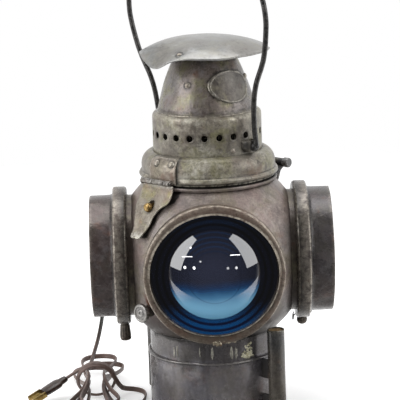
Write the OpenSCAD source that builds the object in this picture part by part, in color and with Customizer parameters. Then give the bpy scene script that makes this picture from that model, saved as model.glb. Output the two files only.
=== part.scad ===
// Railroad switch lantern: a round four-lens lamp on a fork-socket base, wired for a bulb.
// The origin is the middle of the base's underside, the front lens faces -Y and +Z is up.

/* [Lamp body] */
// Height of the lens axes above the base's underside
lens_z = 165; // [160:1:175]
// Outside radius of the round lamp body
globe_r = 100; // [99:0.5:101]
// Thickness of the sheet steel
sheet = 1.2; // [1:0.1:1.4]
// Height above the lens axes at which the body is cut for the lid
globe_top = 76; // [75:0.5:77]
// Depth below the lens axes at which the body meets the base
globe_foot = 75; // [74:0.5:76]

/* [Lenses] */
// Diameter of the pressed glass lenses
lens_d = 136.5; // [136:0.1:137]
// Thickness of the lens rim
lens_rim_t = 4; // [3:0.5:4.5]
// Diameter of the smooth dome in the middle of a lens
dome_d = 87; // [80:1:92]
// Height of the dome above the flat rim
dome_h = 16; // [12:1:18]
// Number of concentric steps moulded in a lens's back
lens_steps = 6; // [4:1:8]
// Distance of the clamp bands' outer face from the middle
band_front = 98; // [97.5:0.5:99]
// Width of a clamp band
band_w = 14; // [13:0.5:14.5]
// Outside radius of a clamp band
band_r = 69.6; // [69.5:0.1:72]
// Clear opening of the front and back retaining bands
view_d = 126.8; // [122:0.2:128]
// Outside radius of the side hoods and of the necks
hood_r = 61.5; // [61:0.5:62]
// Distance of the hoods' open ends from the middle
hood_reach = 121.5; // [115:0.5:130]

/* [Lid] */
// Outside radius of the lid's dome
lid_r = 67.5; // [67:0.5:68]
// Height of the lid's lower edge above the lens axes
lid_z = 81.3; // [81.2:0.1:82]
// Height at which the dome's straight skirt ends
skirt_top = 94; // [93:0.5:95]
// Height of the dome's flat top
dome_top = 108.5; // [108:0.5:110]
// Outside radius of the vent ring
vent_r = 55; // [54.5:0.5:55.5]
// Height of the vent ring's top
vent_top = 148; // [146:1:150]
// Number of air holes round the vent ring
vent_count = 23; // [12:1:24]
// Diameter of an air hole
vent_d = 6.3; // [5:0.1:7]
// Radius of the chimney at its foot
chimney_r0 = 49.5; // [49:0.5:50]
// Height of the chimney
chimney_h = 56; // [52:1:58]
// Radius of the top cap
cap_r = 66.2; // [60:0.2:70]
// Height of the cap's rim above the lens axes
cap_rim = 208; // [207:1:210]
// Height of the cap's crown above its rim
cap_rise = 14; // [12:1:16]
// How far the cap's bent rim hangs down
cap_dent = 12; // [0:1:13]

/* [Bail] */
// Diameter of the bail's wire
bail_d = 5.3; // [5:0.1:5.4]
// Height of the bail's pivots above the lens axes
bail_z = 116; // [115:1:117]
// Radius of the bail's round top
bail_r = 94; // [90:1:98]
// How far the bail leans to the front left at rest, in degrees
bail_lean = 5; // [0:1:8]

/* [Base] */
// Outside radius of the base tube
base_r = 65; // [64.5:0.5:65.5]
// Outside radius of the lower sleeve
sleeve_r = 66.8; // [66.5:0.1:68]
// Depth of the sleeve's top edge below the lens axes
sleeve_top = 98.5; // [95:0.5:105]
// Distance of the fork sockets from the middle
socket_rt = 86; // [85.8:0.1:87]
// Outside diameter of a fork socket
socket_od = 17.5; // [17:0.1:17.5]
// Bore of a fork socket
socket_id = 15.5; // [14:0.1:15.6]
// Height of a fork socket with its top disc
socket_depth = 90; // [60:1:91]

/* [Cord] */
// Width of the flat two-wire cord
cord_w = 5.4; // [5:0.1:5.6]
// Thickness of the flat two-wire cord
cord_t = 2.7; // [2.5:0.1:2.8]
// Number of turns in the tied hank
hank_turns = 3.375; // [2.375:1:3.375]

/* [Hidden] */
$fn = 96;
fit = 0.1;

front_right = -45;
back_right = 45;
back_left = 135;
front_left = 225;

neck_in = 74;
seat_z = 86;
gasket_t = 1;
lens_r = lens_d / 2;
lens_z0 = seat_z + sheet + gasket_t;
lens_face = lens_z0 + lens_rim_t;
dome_rs = (pow(dome_d / 2, 2) + dome_h * dome_h) / (2 * dome_h);

hinge_s = 98;
hinge_z = 79;
hinge_pin_r = 2;
hinge_knuckle_r = 4;
hinge_half = 15;
latch_v = 71;
latch_z = 84;
latch_half = 22.5;
latch_pin_r = 1.1;
latch_barrel_r = 2.5;
plate_t = 1.4;
stud_z = 62;
stud_r = 4;
stud_end = 90;
knob_z = -42.6;
knob_face = 104;
knob_r = 9.2;
bush_r = 6;
shaft_r = 2;
run_fit = 0.06;
screw_x = 91;
screw_r = 2;
exit_z = -20;
base_h = lens_z - globe_foot;
socket_top = 67;
ear_r = 63;

// Places children at a height above the lens axes, facing outwards at an azimuth
module around(azimuth) {
    translate([0, 0, lens_z]) rotate([0, 0, azimuth]) children();
}

// Places children so that their own Z runs outwards along a lens axis
module port(azimuth) {
    around(azimuth) rotate([0, 90, 0]) children();
}

module ring(r_out, r_in, z0, z1) {
    translate([0, 0, z0]) difference() {
        cylinder(r = r_out, h = z1 - z0);
        translate([0, 0, -1]) cylinder(r = r_in, h = z1 - z0 + 2);
    }
}

// A round rivet head that stands on the plane Z = 0
module rivet_head(r, h) {
    rs = (r * r + h * h) / (2 * h);
    intersection() {
        translate([0, 0, h - rs]) sphere(r = rs, $fn = 72);
        cylinder(r = r, h = h + 1, $fn = 72);
    }
}

function arc(cx, cy, rx, ry, a0, a1, n) =
    [for (i = [0:n]) let (a = a0 + (a1 - a0) * i / n) [cx + rx * cos(a), cy + ry * sin(a)]];

function ellipse_points(rx, ry, n) = [for (i = [0:n - 1]) [rx * cos(360 * i / n), ry * sin(360 * i / n)]];

// Body

module globe_shell() {
    color([0.47, 0.43, 0.40]) translate([0, 0, lens_z]) difference() {
        sphere(r = globe_r);
        sphere(r = globe_r - sheet);
        translate([0, 0, globe_top]) cylinder(r = globe_r, h = globe_r);
        translate([0, 0, -globe_foot - globe_r]) cylinder(r = globe_r, h = globe_r);
        for (a = [0:90:270]) rotate([0, 0, a]) rotate([0, 90, 0]) cylinder(r = hood_r + fit, h = globe_r);
        rotate([0, 0, front_left]) translate([0, 0, knob_z]) rotate([0, 90, 0])
            cylinder(r = bush_r + fit, h = globe_r);
        rotate([0, 0, back_left]) translate([0, 0, exit_z]) rotate([0, 90, 0])
            cylinder(r = relief_neck_r + fit, h = globe_r + 5);
    }
}

bead_r = 2.5;
bead_z = 78.4;
collar_r = 64.5;
collar_top = 88;

// Seam bead and the collar that the lid drops over
module globe_rim() {
    color([0.42, 0.40, 0.36]) translate([0, 0, lens_z]) {
        ring(collar_r, collar_r - sheet, globe_top, collar_top);
        ring(lid_r, collar_r, globe_top, bead_z);
        translate([0, 0, bead_z]) rotate_extrude() translate([lid_r, 0]) circle(r = bead_r, $fn = 32);
    }
}

module base_tube() {
    color([0.37, 0.36, 0.37]) ring(base_r, base_r - sheet, 0, base_h);
}

sleeve_lip = 2.6;

module base_sleeve() {
    top = lens_z - sleeve_top;
    color([0.36, 0.36, 0.38]) rotate_extrude() polygon(concat(
        [[base_r + fit, 0], [sleeve_r, 0], [sleeve_r, top - sleeve_lip]],
        arc(sleeve_r, top - sleeve_lip / 2, sleeve_lip / 2, sleeve_lip / 2, -90, 90, 8),
        [[base_r + fit, top]]));
}

pan_t = 2;

module base_pan() {
    color([0.33, 0.32, 0.31]) {
        cylinder(r = base_r - sheet - fit, h = pan_t);
        ring(base_r - sheet - fit, base_r - sheet - 2 * pan_t, pan_t, 5 * pan_t);
    }
}

module neck(azimuth) {
    color([0.42, 0.39, 0.37]) port(azimuth) {
        ring(hood_r, hood_r - sheet, neck_in, seat_z);
        ring(lens_r, hood_r - sheet, seat_z, seat_z + sheet);
    }
}

module lens_gaskets() {
    color([0.12, 0.12, 0.12]) for (a = [0:90:270]) port(a)
        ring(lens_r - 0.4, hood_r, seat_z + sheet, lens_z0);
}

step_in = 16;
step_out = 60;
step_deep = 3.2;

// A pressed lens: smooth dome in a flat rim, concentric prisms moulded in the back
module lens(azimuth, glass) {
    half = dome_d / 2;
    sweep = asin(half / dome_rs);
    pitch = (step_out - step_in) / lens_steps;
    prisms = [for (i = [0:lens_steps - 1]) each [
        [step_in + i * pitch, lens_z0 + step_deep * (1 - i / lens_steps)],
        [step_in + (i + 1) * pitch - 0.6, lens_z0]]];
    color(glass) port(azimuth) rotate_extrude() polygon(concat(
        [[0, lens_z0 + step_deep]], prisms,
        [[lens_r - 0.2, lens_z0], [lens_r - 0.2, lens_face]],
        [[half + 1.5, lens_face]],
        arc(0, lens_face + dome_h - dome_rs, dome_rs, dome_rs, 90 - sweep, 90, 12)));
}

lip_slope = 1.6;
band_round = 3;

// The band that clamps a lens: a rounded hoop with a lip over the lens rim
module band(azimuth, opening_r) {
    back = band_front - band_w;
    inner = lens_r + 0.15;
    difference() {
        color([0.37, 0.36, 0.34]) port(azimuth) rotate_extrude() polygon(concat(
            [[hood_r + fit, back]],
            arc(band_r - band_round, back + band_round, band_round, band_round, -90, 0, 6),
            arc(band_r - band_round, band_front - band_round, band_round, band_round, 0, 90, 6),
            [[opening_r + lip_slope, band_front], [opening_r, band_front - lip_slope]],
            [[opening_r, lens_face + 0.1], [inner, lens_face + 0.1], [inner, back + sheet],
             [hood_r + fit, back + sheet]]));
        if (azimuth == 0 || azimuth == 180) around(azimuth) translate([screw_x, 0, -band_r - 5])
            cylinder(r = screw_r + run_fit, h = 7, $fn = 48);
    }
}

hood_fillet = 2.5;

module hood(azimuth) {
    color([0.29, 0.28, 0.27]) port(azimuth) rotate_extrude() polygon(concat(
        [[hood_r - sheet, band_front], [hood_r + hood_fillet, band_front]],
        arc(hood_r + hood_fillet, band_front + hood_fillet, hood_fillet, hood_fillet, 270, 180, 6),
        [[hood_r, hood_reach], [hood_r - sheet, hood_reach]]));
}

module at_socket(azimuth) {
    rotate([0, 0, azimuth]) translate([socket_rt, 0, 0]) children();
}

socket_low = lens_z - socket_top - socket_depth;

module fork_socket(azimuth) {
    color([0.32, 0.32, 0.31]) at_socket(azimuth)
        ring(socket_od / 2, socket_id / 2, socket_low, lens_z - socket_top - plug_t);
}

plug_t = 3;

// Discs soldered on the tops of the fork sockets
module socket_plugs() {
    color([0.59, 0.46, 0.32]) for (a = [front_right, back_left]) at_socket(a)
        translate([0, 0, lens_z - socket_top - plug_t]) cylinder(r = socket_od / 2, h = plug_t);
}

web_t = 3;
web_h = 22;

// Short plates that hold the fork sockets to the base
module socket_webs() {
    color([0.35, 0.34, 0.34]) difference() {
        for (a = [front_right, back_left], z = [socket_low, lens_z - sleeve_top - web_h])
            rotate([0, 0, a]) translate([sleeve_r - 1, -web_t / 2, z])
                cube([socket_rt - sleeve_r, web_t, web_h - sleeve_lip]);
        translate([0, 0, -1]) cylinder(r = sleeve_r + 0.02, h = lens_z);
        for (a = [front_right, back_left]) at_socket(a) translate([0, 0, -1])
            cylinder(r = socket_od / 2 + 0.02, h = lens_z);
    }
}

module at_hinge() {
    around(back_right) translate([hinge_s, 0, hinge_z]) rotate([90, 0, 0]) children();
}

hinge_split = 5;
leaf_w = 13;

// A curved pad that lies on the round body
module globe_pad(azimuth, half_w, z0, z1) {
    around(azimuth) intersection() {
        difference() {
            sphere(r = globe_r + plate_t);
            sphere(r = globe_r + 0.05);
        }
        translate([0, -half_w, z0]) cube([globe_r * 1.2, 2 * half_w, z1 - z0]);
    }
}

// Strap from the body up to the hinge pin, with the two outer knuckles
module hinge_body_leaf() {
    rise = atan2(hinge_z - 64, hinge_s - 77);
    color([0.20, 0.20, 0.20]) {
        globe_pad(back_right, hinge_half + 1, 50, 70);
        difference() {
            union() {
                around(back_right) translate([hinge_s, 0, hinge_z]) rotate([0, 180 - rise, 0])
                    translate([2, -hinge_half, 1]) cube([26, 2 * hinge_half, 2]);
                at_hinge() translate([0, 0, -hinge_half])
                    cylinder(r = hinge_knuckle_r, h = 2 * hinge_half, $fn = 48);
            }
            around(back_right) sphere(r = globe_r + plate_t / 2);
            at_hinge() translate([0, 0, -hinge_split])
                cylinder(r = hinge_knuckle_r + 0.6, h = 2 * hinge_split);
            at_hinge() translate([0, 0, -30]) cylinder(r = hinge_pin_r, h = 60, $fn = 48);
        }
    }
}

module hinge_pin() {
    color([0.28, 0.27, 0.25]) at_hinge() {
        translate([0, 0, -hinge_half - 3]) cylinder(r = hinge_pin_r, h = 2 * hinge_half + 6, $fn = 48);
        for (s = [-1, 1]) translate([0, 0, s * (hinge_half + 1.6)])
            cylinder(r = hinge_knuckle_r - 0.6, h = 2.4, center = true, $fn = 48);
    }
}

module latch_stud() {
    start = sqrt(globe_r * globe_r - stud_z * stud_z) - 1;
    color([0.63, 0.43, 0.18]) difference() {
        around(front_left) translate([start, 0, stud_z]) rotate([0, 90, 0]) {
            cylinder(r = stud_r, h = stud_end - start - 2, $fn = 48);
            translate([0, 0, stud_end - start - 2]) rivet_head(stud_r, 2);
        }
        translate([0, 0, lens_z]) sphere(r = globe_r + 0.02);
    }
}

module knob_bush() {
    color([0.38, 0.36, 0.34]) around(front_left) translate([0, 0, knob_z]) rotate([0, 90, 0])
        ring(bush_r, shaft_r + run_fit, 84, 98);
}

module body_rivets() {
    $fn = 288;
    lat = asin(57 / globe_r);
    color([0.30, 0.30, 0.29]) difference() {
        for (s = [-1, 1]) around(back_right + s * 8) rotate([0, 90 - lat, 0])
            translate([0, 0, globe_r + plate_t - 0.1]) rivet_head(2.6, 1.6);
        translate([0, 0, lens_z]) sphere(r = globe_r + plate_t + 0.02);
    }
}

seal_r = 0.6;
// Sealing wire as distance from the right band's middle, distance across and height under its edge
seal_route = [
    [-8.4, 3, 2], [-8.6, 6, -0.5], [-8.9, 8, -3.5], [-9, 6.8, -6.2], [-8.9, 3.6, -5.8], [-8.5, 2.6, -2.8],
    [-7.6, 4.2, -1.1], [-4, 5.6, -0.5], [4, 5.6, -0.5], [7.6, 5.6, -0.9], [9.4, 5.4, 0.6], [10.6, 4.6, 3],
    [11.2, 3.8, 5]];

// Loop and loose end of sealing wire, laid under the right band beside its screw
module seal_wire() {
    color([0.25, 0.24, 0.23]) translate([screw_x, 0, lens_z - band_r])
        tube(curve(seal_route, 2), seal_r, seal_r, [1, 0, 0], 6);
}

// Electric fittings

plate_z = -80;
nipple_r = 5;

module holder_plate() {
    color([0.45, 0.45, 0.45]) translate([0, 0, lens_z])
        ring(base_r - sheet - fit, nipple_r + 0.05, plate_z, plate_z + 1.6);
}

module holder_nipple() {
    color([0.70, 0.58, 0.32]) translate([0, 0, lens_z]) ring(nipple_r, 3.6, plate_z - 8, plate_z + 12);
}

nut_r = 9;

module holder_nut() {
    color([0.70, 0.58, 0.32]) translate([0, 0, lens_z + plate_z - 4]) difference() {
        cylinder(r = nut_r, h = 4, $fn = 6);
        translate([0, 0, -1]) cylinder(r = nipple_r + 0.05, h = 6, $fn = 48);
    }
}

holder_r = 17.2;
cap_top_z = -60;

module holder_cap() {
    bottom = plate_z + 1.6;
    color([0.66, 0.53, 0.28]) translate([0, 0, lens_z]) rotate_extrude() polygon(concat(
        [[nipple_r + 0.05, bottom]],
        arc(holder_r - 6, bottom + 6, 6, 6, 270, 360, 6),
        [[holder_r, cap_top_z], [holder_r - 1, cap_top_z], [holder_r - 1, bottom + 7],
         [nipple_r + 4, bottom + 1.2], [nipple_r + 0.05, bottom + 1.2]]));
}

shell_top_z = -26;

module holder_shell() {
    color([0.66, 0.53, 0.28]) translate([0, 0, lens_z])
        ring(holder_r - 0.6, holder_r - 2.4, cap_top_z + 0.1, shell_top_z);
}

bulb_r = 24;
screw_base_r = 13;
screw_base_z = -56;
screw_base_top = -29;

module bulb_cap() {
    color([0.75, 0.72, 0.62]) translate([0, 0, lens_z]) {
        translate([0, 0, screw_base_z + 3])
            cylinder(r = screw_base_r, h = screw_base_top - screw_base_z - 3);
        translate([0, 0, screw_base_z]) cylinder(r = 5, h = 3);
    }
}

module bulb_glass() {
    neck_r = screw_base_r - 1;
    join = 62;
    color([0.93, 0.93, 0.90]) translate([0, 0, lens_z]) rotate_extrude() polygon(concat(
        [[0, screw_base_top], [neck_r, screw_base_top], [neck_r, screw_base_top + 4]],
        arc(0, 0, bulb_r, bulb_r, -join, 90, 18)));
}

relief_in = 92;
relief_out = 118.8;
relief_neck_r = 5;
relief_flange_r = 8;
relief_tip_r = 4.2;

// Moulded bush in the body's wall, tapering along the cord
module strain_relief() {
    color([0.13, 0.12, 0.12]) around(back_left) translate([0, 0, exit_z]) rotate([0, 90, 0])
        rotate_extrude() polygon([
            [0, relief_in], [relief_neck_r, relief_in], [relief_neck_r, globe_r],
            [relief_flange_r, globe_r], [relief_flange_r, globe_r + 1],
            [relief_neck_r + 1.4, globe_r + 2.5], [relief_tip_r, relief_out - 0.6],
            [relief_tip_r - 0.6, relief_out], [0, relief_out]]);
}

// Swept tubes

function unit(v) = v / norm(v);

function tangents(p) = [for (i = [0:len(p) - 1])
    unit(p[min(i + 1, len(p) - 1)] - p[max(i - 1, 0)])];

// Carries the width direction along the tangents without twist
function carry(t, w, i = 0, out = []) = i == len(t) ? out
    : let (v = unit(w - t[i] * (w * t[i]))) carry(t, v, i + 1, concat(out, [v]));

// A tube of elliptical section through the points, w0 being its width direction at the start
module tube(p, rw, rt, w0, sides) {
    n = len(p);
    t = tangents(p);
    w = carry(t, w0);
    rings = [for (i = [0:n - 1], k = [0:sides - 1]) let (a = 360 * (k + 0.5) / sides)
        p[i] + w[i] * rw * cos(a) + cross(t[i], w[i]) * rt * sin(a)];
    walls = [for (i = [0:n - 2], k = [0:sides - 1])
        let (a = i * sides + k, b = i * sides + (k + 1) % sides)
            each [[a, b + sides, b], [a, a + sides, b + sides]]];
    last = (n - 1) * sides;
    ends = [for (k = [1:sides - 2]) each [[0, k, k + 1], [last, last + k + 1, last + k]]];
    polyhedron(points = rings, faces = concat(walls, ends));
}

// Smooth curve through the points, with steps between each two
function curve(p, steps) = [for (i = [0:len(p) - 2])
    let (a = p[max(i - 1, 0)], b = p[i], c = p[i + 1], d = p[min(i + 2, len(p) - 1)])
        for (k = [0:(i == len(p) - 2 ? steps : steps - 1)]) let (s = k / steps)
            (2 * b + (c - a) * s + (2 * a - 5 * b + 4 * c - d) * s * s
                + (3 * b - a - 3 * c + d) * s * s * s) / 2];

lead_d = 4.4;
lead_route = [
    [-64.8, 64.8, 145], [-60, 60, 144], [-48, 48, 134], [-38, 38, 118],
    [-29, 29, 104], [-20, 20, 96], [-15.5, 15.5, 94.5], [-12.6, 12.6, 94]];

module inner_lead() {
    color([0.20, 0.17, 0.15]) tube(curve(lead_route, 3), lead_d / 2, lead_d / 2, [0, 0, 1], 8);
}

// Turning pieces

knob_back = 99.6;

// Knurled edge of the knob, seen along its shaft
function knurl(ribs) = [for (k = [0:2 * ribs - 1]) let (r = k % 2 == 0 ? knob_r + 0.4 : knob_r - 0.3)
    [r * cos(180 * k / ribs), r * sin(180 * k / ribs)]];

module wick_knob() {
    color([0.55, 0.54, 0.54]) around(front_left) translate([0, 0, knob_z]) rotate([0, 90, 0]) difference() {
        union() {
            translate([0, 0, knob_back - 1.2]) cylinder(r = knob_r - 2.4, h = 2);
            translate([0, 0, knob_back]) rotate_extrude() polygon(concat(
                [[0, 0], [knob_r - 0.6, 0]],
                arc(knob_r - 1.6, knob_face - knob_back - 1, 1, 1, 0, 90, 5),
                [[0, knob_face - knob_back]]));
            translate([0, 0, knob_back + 0.4]) linear_extrude(height = 3) polygon(knurl(24));
        }
        translate([0, 0, knob_back - 9]) cylinder(r = shaft_r, h = 11.4, $fn = 48);
    }
}

module wick_shaft() {
    color([0.40, 0.38, 0.36]) around(front_left) translate([0, 0, knob_z]) rotate([0, 90, 0])
        translate([0, 0, 76]) cylinder(r = shaft_r, h = 26, $fn = 48);
}

screw_top = 68.2;

// A thumb screw under a side band, head downwards
module thumb_screw(azimuth, head_r, flare_r, head_h) {
    color([0.19, 0.18, 0.17]) around(azimuth) translate([screw_x, 0, 0]) {
        translate([0, 0, -band_r - 2]) cylinder(r = screw_r, h = band_r + 2 - screw_top, $fn = 48);
        translate([0, 0, -band_r - 0.6]) rotate([180, 0, 0]) rotate_extrude($fn = 48) polygon(concat(
            [[0, 0], [head_r, 0], [head_r, head_h * 0.35], [flare_r, head_h - 2]],
            arc(flare_r - 2, head_h - 2, 2, 2, 0, 90, 5), [[0, head_h]]));
    }
}

// Lid

function dome_outline(off) = concat([[lid_r + off, skirt_top]],
    arc(vent_r + fit, skirt_top, lid_r - vent_r - fit + off, dome_top - skirt_top + off, 0, 90, 10));

function reversed(p) = [for (i = [len(p) - 1:-1:0]) p[i]];

module lid_dome() {
    color([0.51, 0.50, 0.45]) translate([0, 0, lens_z]) rotate_extrude() polygon(concat(
        [[lid_r - sheet, lid_z], [lid_r, lid_z]], dome_outline(0), reversed(dome_outline(-sheet))));
}

vent_z = 126.8;
vent_low = 105;
vent_round = 5;
vent_first = -66.7;

module vent_ring() {
    step = 360 / vent_count;
    top_r = vent_r - vent_round;
    color([0.49, 0.48, 0.42]) translate([0, 0, lens_z]) difference() {
        rotate_extrude() polygon(concat(
            [[vent_r - sheet, vent_low], [vent_r, vent_low]],
            arc(top_r, vent_top - vent_round, vent_round, vent_round, 0, 90, 8),
            [[chimney_r0 - 2, vent_top], [chimney_r0 - 2, vent_top - sheet]],
            arc(top_r, vent_top - vent_round, vent_round - sheet, vent_round - sheet, 90, 0, 8)));
        for (k = [0:vent_count - 1]) rotate([0, 0, vent_first - 90 + step * k]) translate([0, 0, vent_z])
            rotate([0, 90, 0]) translate([0, 0, vent_r - 8]) cylinder(r = vent_d / 2, h = 16, $fn = 32);
    }
}

// The chimney's radius at a height above its foot
function chimney_at(s) = chimney_r0 - 0.1955 * s - 0.002727 * s * s;
function chimney_side(off) = [for (i = [0:10]) let (s = chimney_h * i / 10)
    [chimney_at(s) + off, vent_top + s]];

module chimney() {
    color([0.50, 0.48, 0.43]) translate([0, 0, lens_z]) rotate_extrude()
        polygon(concat(chimney_side(0), reversed(chimney_side(-sheet))));
}

// Everything inside the chimney's outer face, grown by off
module chimney_core(off) {
    rotate_extrude() polygon(concat([[0, vent_top]], chimney_side(off), [[0, vent_top + chimney_h]]));
}

dent_at = 220;
dent_width = 27;

// Height of the cap's top face: a dish whose rim is bent down at the front left
function cap_height(r, a) = cap_rim + cap_rise * (1 - pow(r / cap_r, 2.6))
    - cap_dent * pow(r / cap_r, 3) * exp(-pow((a - dent_at) / dent_width, 2))
    + 1.5 * pow(r / cap_r, 4) * exp(-pow((a - 285) / 20, 2));

module top_cap() {
    rings = 7;
    spokes = 60;
    function spot(r, k, drop) = let (a = 360 * k / spokes)
        [r * cos(a), r * sin(a), cap_height(r, a) - drop];
    top = [for (i = [1:rings], k = [0:spokes - 1]) spot(cap_r * i / rings, k, 0)];
    under = [for (i = [1:rings], k = [0:spokes - 1]) spot(cap_r * i / rings, k, sheet)];
    n = rings * spokes;
    function id(i, k) = i * spokes + (k % spokes);
    sides = [for (i = [0:rings - 2], k = [0:spokes - 1]) each [
        [id(i, k), id(i + 1, k + 1), id(i + 1, k)],
        [id(i, k), id(i, k + 1), id(i + 1, k + 1)],
        [n + id(i, k), n + id(i + 1, k), n + id(i + 1, k + 1)],
        [n + id(i, k), n + id(i + 1, k + 1), n + id(i, k + 1)]]];
    rim = [for (k = [0:spokes - 1]) let (a = id(rings - 1, k), b = id(rings - 1, k + 1))
        each [[a, b, n + b], [a, n + b, n + a]]];
    middle = [for (k = [0:spokes - 1]) each [
        [2 * n, id(0, k + 1), id(0, k)],
        [2 * n + 1, n + id(0, k), n + id(0, k + 1)]]];
    color([0.59, 0.59, 0.57]) translate([0, 0, lens_z]) polyhedron(
        points = concat(top, under, [[0, 0, cap_height(0, 0)], [0, 0, cap_height(0, 0) - sheet]]),
        faces = concat(sides, rim, middle));
}

leg_r = 26.6;
leg_w = 8;

// Three straps that hold the cap above the chimney
module cap_legs() {
    foot = vent_top + chimney_h - 8;
    color([0.40, 0.40, 0.38]) translate([0, 0, lens_z]) for (a = [90:120:330]) rotate([0, 0, a]) {
        tip = cap_height(leg_r + 2 * sheet, a) - sheet - 0.3;
        translate([leg_r, -leg_w / 2, foot]) cube([sheet, leg_w, tip - foot]);
        translate([leg_r - 8, -leg_w / 2, tip - sheet]) cube([8 + sheet, leg_w, sheet]);
    }
}

module lid_rivets() {
    $fn = 288;
    color([0.50, 0.49, 0.44]) translate([0, 0, lens_z]) {
        difference() {
            for (p = [[-121, 178], [-13, 181]]) rotate([0, 0, p[0]])
                translate([chimney_at(p[1] - vent_top) - 0.8, 0, p[1]])
                    rotate([0, 74, 0]) rivet_head(3, 2.4);
            chimney_core(0.02);
        }
        difference() {
            for (a = [-115, -64, 40, 120]) rotate([0, 0, a]) translate([vent_r - 0.3, 0, 113])
                rotate([0, 90, 0]) rivet_head(2.4, 1.8);
            cylinder(r = vent_r + 0.02, h = vent_top);
        }
    }
}

badge_w = 24;
badge_h = 15.5;
badge_a = -54;

// Oval plate wrapped on the chimney, with a raised rim and a bare field
module badge_plate() {
    level = vent_top + 27;
    color([0.44, 0.43, 0.40]) translate([0, 0, lens_z]) {
        intersection() {
            difference() {
                chimney_core(0.8);
                chimney_core(0.05);
            }
            rotate([0, 0, badge_a]) translate([20, 0, level]) rotate([90, 0, 90])
                linear_extrude(height = 40) polygon(ellipse_points(badge_w, badge_h, 48));
        }
        intersection() {
            difference() {
                chimney_core(1.3);
                chimney_core(0.8);
            }
            rotate([0, 0, badge_a]) translate([20, 0, level]) rotate([90, 0, 90])
                linear_extrude(height = 40) difference() {
                    polygon(ellipse_points(badge_w, badge_h, 48));
                    polygon(ellipse_points(badge_w - 1.5, badge_h - 1.5, 48));
                }
        }
    }
}

// Strap from the lid's side out to the hinge pin, with the middle knuckle
module hinge_lid_leaf() {
    start = 90;
    fall = atan2(start - hinge_z, hinge_s - lid_r);
    reach = norm([start - hinge_z, hinge_s - lid_r]);
    color([0.20, 0.20, 0.20]) {
        around(back_right) intersection() {
            ring(lid_r + plate_t, lid_r + 0.05, lid_z + 1, skirt_top);
            translate([0, -leaf_w, 0]) cube([globe_r, 2 * leaf_w, globe_r]);
        }
        difference() {
            union() {
                around(back_right) translate([hinge_s, 0, hinge_z]) rotate([0, 180 + fall, 0])
                    translate([0, -hinge_split + 0.4, -2.6]) cube([reach, 2 * hinge_split - 0.8, 2]);
                at_hinge() translate([0, 0, -hinge_split + 0.4])
                    cylinder(r = hinge_knuckle_r, h = 2 * hinge_split - 0.8, $fn = 48);
            }
            translate([0, 0, lens_z]) cylinder(r = lid_r + 0.05, h = skirt_top);
            at_hinge() translate([0, 0, -30]) cylinder(r = hinge_pin_r + run_fit, h = 60, $fn = 48);
        }
    }
}

latch_gap = 8;
latch_right = 14;
latch_bracket = 10;

// Upper half of the latch, wrapped over the lid's shoulder, with the two end knuckles
module latch_leaf() {
    color([0.44, 0.43, 0.38]) difference() {
        union() {
            translate([0, 0, lens_z]) intersection() {
                difference() {
                    rotate_extrude() polygon(concat([[0, latch_z - 2], [lid_r + plate_t, latch_z - 2]],
                        dome_outline(plate_t), [[0, dome_top + plate_t]]));
                    rotate_extrude() polygon(concat([[0, 0], [lid_r + 0.05, 0]], dome_outline(0.05),
                        [[0, dome_top + 0.05]]));
                }
                rotate([0, 0, front_left]) translate([0, -latch_half + 4, 0])
                    cube([globe_r, 2 * latch_half - 4, 107]);
            }
            for (end = [[-latch_half, -latch_gap], [latch_gap, latch_right]])
                around(front_left) translate([latch_v, end[0], latch_z]) {
                    rotate([-90, 0, 0]) cylinder(r = latch_barrel_r, h = end[1] - end[0], $fn = 32);
                    translate([-latch_bracket, 0, -1]) cube([latch_bracket, end[1] - end[0], 2]);
                }
        }
        around(front_left) translate([latch_v, 0, latch_z]) rotate([90, 0, 0]) {
            cylinder(r = latch_pin_r, h = 3 * latch_half, center = true, $fn = 32);
            cylinder(r = latch_barrel_r + 0.5, h = 2 * latch_gap, center = true, $fn = 32);
        }
        translate([0, 0, lens_z + 1]) cylinder(r = lid_r + 0.05, h = skirt_top);
    }
}

module latch_pin() {
    color([0.36, 0.34, 0.30]) around(front_left) translate([latch_v, -latch_half - 0.5, latch_z])
        rotate([-90, 0, 0]) cylinder(r = latch_pin_r, h = latch_half + latch_right + 1, $fn = 32);
}

ear_h = 12;
ear_w = 20;

// Bent straps on the vent ring that hold the ends of the bail
module bail_ears() {
    color([0.36, 0.35, 0.32]) for (a = [front_right, back_left]) around(a) difference() {
        translate([vent_r - 2, -ear_w / 2, bail_z - ear_h / 2]) cube([ear_r - vent_r + 2, ear_w, ear_h]);
        translate([0, -ear_w / 2 + 2.5, bail_z - ear_h]) cube([ear_r - 2, ear_w - 5, 2 * ear_h]);
        cylinder(r = vent_r + 0.03, h = vent_top);
        translate([0, 0, bail_z]) rotate([0, 90, 0]) cylinder(r = bail_d / 2 + run_fit, h = 80, $fn = 48);
    }
}

// Side view of the hasp as distance from the axis and height, front face
hasp_bend = [[73.4, 84], [73.6, 78], [76.4, 72.5], [83.6, 63], [90.4, 52], [96.4, 42], [103.4, 34.5]];
// Front view of the hasp as distance across and height
hasp_edge = [
    [-21, 85], [-21, 70], [-19, 60], [-14, 48], [-11, 40], [-10, 33],
    [2.6, 33], [4.3, 39], [8, 46], [8.5, 54], [13, 62], [21, 67], [22, 72], [22, 85]];
hasp_knuckle = 7.6;

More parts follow.
